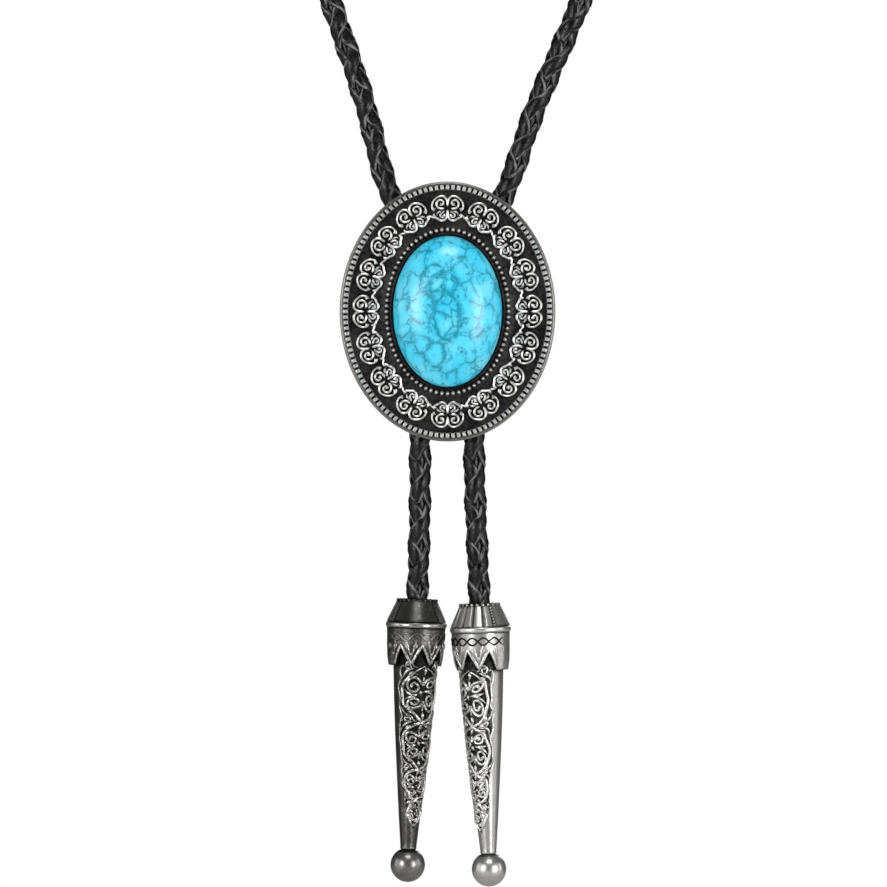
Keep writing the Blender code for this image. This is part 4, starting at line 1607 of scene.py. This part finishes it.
@dataclass
class Braid:
    """A round braid of four flat leather laces, laid along a cord's way.

    Two laces wind one way and two the other, and each passes over one and under the next.

    Attributes:
        leather: the laces' finish.
        slot: the record's slot of that finish; not used.
        radius: the braid's outer radius.
        pitch: how far a lace runs along the cord in one turn round it.
        swing: how far a lace moves in and out as it passes under and over.
        core_radius: the radius of the core inside the laces.
        step: the distance between a lace's sections.
        sides: how many sides a lace's section has.
        turn: how far the whole braid is turned.
        lag: how unevenly a lace winds: straighter between the crossings, faster at them.
        flatness: how flat a lace is across: 1 is round, and less is flatter.
        squareness: how square its edges are, in the same way.
        thinning: how much thinner it is at its edges.
    """

    leather: bpy.types.Material
    slot: str
    radius: float = 2.4 * MM
    pitch: float = 17.0 * MM
    lace_width: float = 3.0 * MM
    lace_thickness: float = 1.15 * MM
    swing: float = 0.22 * MM
    core_radius: float = 1.35 * MM
    core_step: float = 3.0 * MM
    step: float = 0.6 * MM
    sides: int = 12
    turn: float = math.radians(-20)
    lag: float = 0.10
    flatness: float = 0.8
    squareness: float = 0.85
    thinning: float = 0.20

    def build(self, name: str, node: str, way: Way) -> bpy.types.Object:
        """Builds the braid along a cord's way.

        Args:
            name: the piece's name.
            node: the cord's node, which it replaces.
            way: where the cord runs.

        Returns:
            The piece.
        """
        bm = bmesh.new()
        for layer in (ACROSS, ALONG):
            bm.verts.layers.float.new(layer)
        for hand in (1, -1):
            for start in (0.0, math.pi):
                self.add_lace(bm, way, hand, start)
        self.add_core(bm, way)
        return settle(bm, name, self.leather, [node], crease=60)

    def add_lace(self, bm: BMesh, way: Way, hand: int, start: float) -> None:
        """Adds one lace, wound round the cord's middle and wrapped to its curve.

        Args:
            bm: the mesh that it is added to.
            way: where the cord runs.
            hand: which way it winds, 1 or -1.
            start: its angle at the cord's start.
        """
        part = bar(self.sides, max(int(way.length / self.step), 8))
        place = np.array([vert.co for vert in part.verts])
        middle = self.radius - self.lace_thickness / 2 - self.swing
        centre = place[:, 2] * way.length
        even = hand * 2 * math.pi * centre / self.pitch + start
        # A lace lies almost straight along the cord between crossings, and turns fast at them.
        rate = 1 + 4 * self.lag * np.cos(4 * even)
        slope = 2 * math.pi * middle / self.pitch * rate
        norm = np.hypot(1, slope)
        across, out = place[:, 0], place[:, 1]
        offset = np.sign(across) * np.abs(across) ** self.flatness * self.lace_width / 2
        dome = 1 - self.thinning * np.abs(across) ** 2
        height = np.sign(out) * np.abs(out) ** self.squareness * self.lace_thickness / 2 * dome
        run = np.clip(centre - hand * slope * offset / norm, 0, way.length)
        angle = even + self.lag * np.sin(4 * even) + offset / norm / middle + self.turn
        over = hand * np.cos(4 * math.pi * centre / self.pitch)
        points = way.wrapped(run, angle, middle + self.swing * over + height)
        across_layer = part.verts.layers.float.new(ACROSS)
        along_layer = part.verts.layers.float.new(ALONG)
        for vert, point, share, distance in zip(part.verts, points, across, centre):
            vert.co = point
            vert[across_layer] = share
            vert[along_layer] = distance
        merge(bm, part)
        part.free()

    def add_core(self, bm: BMesh, way: Way) -> None:
        """Adds the cord's core, which closes the small gaps between the laces."""
        part = bar(8, max(int(way.length / self.core_step), 4))
        place = np.array([vert.co for vert in part.verts])
        angle = np.arctan2(place[:, 1], place[:, 0]) + self.turn
        radius = np.full(len(place), self.core_radius)
        for vert, point in zip(part.verts, way.wrapped(place[:, 2] * way.length, angle, radius)):
            vert.co = point
        merge(bm, part)
        part.free()


@dataclass
class Cord:
    """The cord: its round neck stretch and its two tails, on the routes of the frame's tubes.

    The routes are in millimetres across, back and up from the slide's centre.
    """

    braid: Braid
    tip_lean: float
    mouths: dict[Side, Vector]
    clearance: float = 0.3 * MM
    channel_offset: float = 5.4 * MM
    clip_above: float = 6.0 * MM
    clip_below: float = 8.0 * MM
    socket_depth: float = 8.0 * MM
    tail_lead: float = 6.0 * MM
    spacing: float = 0.5 * MM
    neck_route: list[Spot] = field(default_factory=lambda: [
        (-5.9, 0.0, 10.0), (-11.6, 0.0, 24.0), (-15.6, 0.0, 38.4), (-20.1, 0.0, 52.8),
        (-25.3, 0.2, 67.5), (-38.0, 1.6, 100.0), (-52.0, 6.5, 143.0), (-63.0, 17.5, 185.0),
        (-69.3, 37.0, 225.0), (-68.7, 65.0, 256.0), (-57.0, 93.0, 277.0), (-37.0, 114.5, 289.0),
        (0.0, 125.5, 294.0),
        (37.0, 114.5, 289.0), (57.0, 93.0, 277.0), (68.7, 65.0, 256.0), (69.3, 37.0, 225.0),
        (64.0, 17.5, 185.0), (54.0, 6.5, 143.0), (41.0, 1.6, 100.0), (28.8, 0.2, 67.5),
        (22.7, 0.0, 52.8), (16.7, 0.0, 38.4), (11.6, 0.0, 24.0), (5.9, 0.0, 10.0),
    ])
    tail_routes: dict[Side, list[Spot]] = field(default_factory=lambda: {
        Side.LEFT: [(-5.5, 0.0, -22.0), (-5.5, 0.0, -36.0)],
        Side.RIGHT: [(5.3, 0.0, -22.0), (5.5, 0.0, -36.0)],
    })

    @property
    def slide_centre(self) -> Vector:
        """The slide's centre, on the cord's plane: the nape of the route is at the origin."""
        nape = Vector(self.neck_route[len(self.neck_route) // 2]) * MM
        return Vector((0, self.braid.radius, 0)) - nape

    def build(self) -> list[bpy.types.Object]:
        pieces = [self.braid.build("neck_braid", "neck_cord", self.way(self.neck()))]
        for side in Side:
            label = side.name.lower()
            way = self.way(self.tail(side))
            piece = self.braid.build(label + "_braid", label + "_tail", way)
            pieces.append(piece)
        return pieces

    def in_channel(self, side: Side, up: float) -> Vector:
        """A place in the middle of one of the clasp's channels, from the slide's centre."""
        return Vector((side.value * self.channel_offset, 0, up))

    def neck(self) -> list[Vector]:
        """The whole way round the neck, with the straight stretch inside each channel."""
        heights = (self.clearance / 2, self.clip_above)
        left = [self.in_channel(Side.LEFT, up) for up in heights]
        right = [self.in_channel(Side.RIGHT, up) for up in reversed(heights)]
        return left + [Vector(point) * MM for point in self.neck_route] + right

    def tail(self, side: Side) -> list[Vector]:
        """A tail from inside the clasp into its tip's socket, in line with the tip at its end."""
        mouth = self.mouths[side]
        down = Vector((side.value * math.sin(self.tip_lean), 0, -math.cos(self.tip_lean)))
        start = [self.in_channel(side, up) for up in (-self.clearance / 2, -self.clip_below)]
        seated = mouth + down * (self.socket_depth - self.clearance)
        points = [Vector(point) * MM for point in self.tail_routes[side]]
        return start + points + [mouth - down * self.tail_lead, mouth, seated]

    def way(self, route: Sequence[Vector]) -> Way:
        """The way along a route: straight in its holders, smooth between them.

        Args:
            route: the route's own points, from the slide's centre.

        Returns:
            The way in its place.
        """
        smooth = smooth_line(np.array([tuple(point) for point in route[1:-1]]), self.spacing)
        points = [np.array(route[0]), *smooth, np.array(route[-1])]
        return Way(np.array(points) + np.array(self.slide_centre))


@dataclass(frozen=True)
class SoftBox:
    """One soft light of the studio, aimed at the slide.

    Attributes:
        azimuth: where it stands, in degrees from the front, to the right.
        elevation: how high it stands, in degrees.
        distance: from the slide to it.
    """

    name: str
    azimuth: float
    elevation: float
    distance: float
    width: float
    height: float
    watts: float

    def place(self, aim: Vector) -> bpy.types.Object:
        """Puts the light up.

        Args:
            aim: the point that it faces.

        Returns:
            The light.
        """
        light = bpy.data.lights.new(self.name, "AREA")
        light.shape = "RECTANGLE"
        light.size = self.width
        light.size_y = self.height
        light.energy = self.watts
        azimuth, elevation = math.radians(self.azimuth), math.radians(self.elevation)
        away = Vector((
            math.sin(azimuth) * math.cos(elevation),
            -math.cos(azimuth) * math.cos(elevation),
            math.sin(elevation),
        ))
        made = new_object(self.name, light)
        made.location = aim + away * self.distance
        made.rotation_euler = away.to_track_quat("Z", "Y").to_euler()
        return made


@dataclass
class Studio:
    """Camera, soft boxes, pale surroundings and the floor.

    Attributes:
        slide_centre: where the slide hangs.
        pixel: real size of one of the photo's pixels at the slide.
        photo_side: the photo's width and height in pixels.
        slide_pixel: where the photo shows the slide's centre.
        distance: from the camera to the slide.
        clip_end: how far the camera sees.
        floor_radius: the round floor's radius.
        floor_drop: how far the floor is below the nape.
        surround: how bright the room is that the metal reflects.
        boxes: the lights.
    """

    slide_centre: Vector
    pixel: float = 0.2 * MM
    photo_side: int = 887
    slide_pixel: Flat = (447.5, 312.0)
    distance: float = 1.5
    clip_end: float = 20.0
    floor_radius: float = 1.6
    floor_drop: float = 0.55
    surround: float = 0.07
    boxes: tuple[SoftBox, ...] = (
        # name, azimuth, elevation, distance, width, height, watts
        SoftBox("left_box", -40, 4, 1.0, 0.28, 0.44, 4.2),
        SoftBox("right_box", 40, 0, 1.0, 0.28, 0.48, 4.6),
        SoftBox("top_box", 3, 54, 1.0, 0.40, 0.22, 2.9),
        SoftBox("left_panel", -80, 5, 1.1, 0.50, 0.80, 1.8),
        SoftBox("right_panel", 80, 5, 1.1, 0.50, 0.80, 1.8),
        SoftBox("back_box", 165, 20, 1.3, 0.60, 0.50, 3.0),
    )

    def build(self) -> None:
        """Builds the studio."""
        self.add_camera()
        for box in self.boxes:
            box.place(self.slide_centre)
        self.add_surround()
        self.add_floor()
        bpy.context.scene.view_settings.view_transform = "Standard"

    def add_camera(self) -> None:
        """Adds the camera, level, with the slide at its place in the photo."""
        middle = self.photo_side / 2
        shift = Vector((
            (middle - self.slide_pixel[0]) * self.pixel, -self.distance,
            (self.slide_pixel[1] - middle) * self.pixel,
        ))
        data = bpy.data.cameras.new("camera")
        data.lens = data.sensor_width * self.distance / (self.photo_side * self.pixel)
        data.clip_end = self.clip_end
        camera = new_object("camera", data)
        camera.location = self.slide_centre + shift
        camera.rotation_euler = (math.pi / 2, 0, 0)
        bpy.context.scene.camera = camera

    def add_surround(self) -> None:
        """Adds the surroundings: white behind the tie, and a grey room for its reflections."""
        world = bpy.data.worlds.new("studio")
        world.use_nodes = True
        tree = world.node_tree
        white, room = tree.nodes["Background"], tree.nodes.new("ShaderNodeBackground")
        for background, strength in ((white, 1.0), (room, self.surround)):
            background.inputs["Color"].default_value = (1.0, 1.0, 1.0, 1.0)
            background.inputs["Strength"].default_value = strength
        seen = tree.nodes.new("ShaderNodeLightPath")
        mixed = tree.nodes.new("ShaderNodeMixShader")
        tree.links.new(seen.outputs["Is Camera Ray"], mixed.inputs["Fac"])
        tree.links.new(room.outputs[0], mixed.inputs[1])
        tree.links.new(white.outputs[0], mixed.inputs[2])
        tree.links.new(mixed.outputs[0], tree.nodes["World Output"].inputs["Surface"])
        bpy.context.scene.world = world

    def add_floor(self) -> None:
        """Adds the pale floor, well below the tie."""
        bm = bmesh.new()
        bmesh.ops.create_circle(bm, cap_ends=True, segments=96, radius=self.floor_radius)
        bmesh.ops.translate(bm, vec=(0, 0, -self.floor_drop), verts=bm.verts)
        floor = mesh_object(bm, "floor", StageFinish().make())


DEGREE = math.radians(1)
TIP_LEAN = 2.05 * DEGREE

SLIDE_SILVER = AntiqueSilver(
    "antiqued slide", recess=(0.003, 0.003, 0.003),
    plain=(0.27, 0.266, 0.258), bright=(0.80, 0.79, 0.775),
    mottle=0.16, metallic=0.76, bright_roughness=0.33, wear=0.22,
)
# The left tip's metal is a darker copy of the right tip's, most of all on its plain surfaces.
DARK_SILVER = AntiqueSilver(
    "darker tip", recess=(0.006, 0.006, 0.006),
    plain=(0.075, 0.074, 0.070), bright=(0.72, 0.71, 0.69),
    wear=0.40,
)
LIGHTER_SILVER = AntiqueSilver(
    "lighter tip", recess=(0.006, 0.006, 0.006),
    plain=(0.49, 0.485, 0.472), bright=(0.90, 0.89, 0.87),
    wear=0.40,
)

TIP_PLACES = {
    Side.LEFT: TipPlace(
        across=6.05 * MM, below=57.4 * MM, turn=25 * DEGREE, leaf_turn=-11 * DEGREE,
        cap_turn=-25 * DEGREE, cap_plain=50 * DEGREE, band_polish=0.62, ball_polish=0.60,
        seed_polish=0.50, finish=DARK_SILVER,
    ),
    Side.RIGHT: TipPlace(
        across=6.40 * MM, below=58.3 * MM, turn=-40 * DEGREE, leaf_turn=11 * DEGREE,
        cap_turn=93 * DEGREE, cap_plain=24 * DEGREE, band_polish=0.0, ball_polish=0.58,
        seed_polish=0.10, finish=LIGHTER_SILVER,
    ),
}


def build_tips(centre: Vector) -> list[bpy.types.Object]:
    """Builds the two tips.

    Args:
        centre: the slide's centre.

    Returns:
        The tips.
    """
    pieces = []
    for side, spot in TIP_PLACES.items():
        place = (
            Matrix.Translation(centre + spot.mouth(side))
            @ Matrix.Rotation(-side.value * TIP_LEAN, 4, "Y")
            @ Matrix.Rotation(spot.turn, 4, "Z")
        )
        pieces.append(Tip(side.name.lower(), place, spot).build())
    return pieces


def build_slide() -> list[bpy.types.Object]:
    """Builds the slide on the frame's plate, and gives the clasp its finish."""
    low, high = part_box("concho")
    middle = (low + high) / 2
    turn_up = Matrix.Rotation(math.pi / 2, 4, "X")
    stand_up = Matrix.Translation((middle.x, high.y, middle.z)) @ turn_up
    stone = VeinedStone(centre=tuple(middle))
    slide = Slide(
        half_width=(high.x - low.x) / 2, half_height=(high.z - low.z) / 2, place=stand_up,
        silver=SLIDE_SILVER.make(), stone=stone.make(),
        silver_slot=SLIDE_SILVER.slot, stone_slot=stone.slot,
    )
    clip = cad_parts["slide_clip"]
    clip.data.materials.clear()
    clip.data.materials.append(SatinSteel().make())
    return slide.build()


def main() -> None:
    """Builds the tie and its studio, and reports each piece."""
    logging.basicConfig(level=logging.INFO, format="%(message)s", stream=sys.stdout)
    leather = LaceLeather()
    mouths = {side: spot.mouth(side) for side, spot in TIP_PLACES.items()}
    cord = Cord(Braid(leather.make(), leather.slot), TIP_LEAN, mouths)
    Studio(cord.slide_centre).build()
    pieces = cord.build()
    pieces += build_slide()
    pieces += build_tips(cord.slide_centre)
    log.info("%d pieces", len(pieces))


if __name__ == "__main__":
    main()
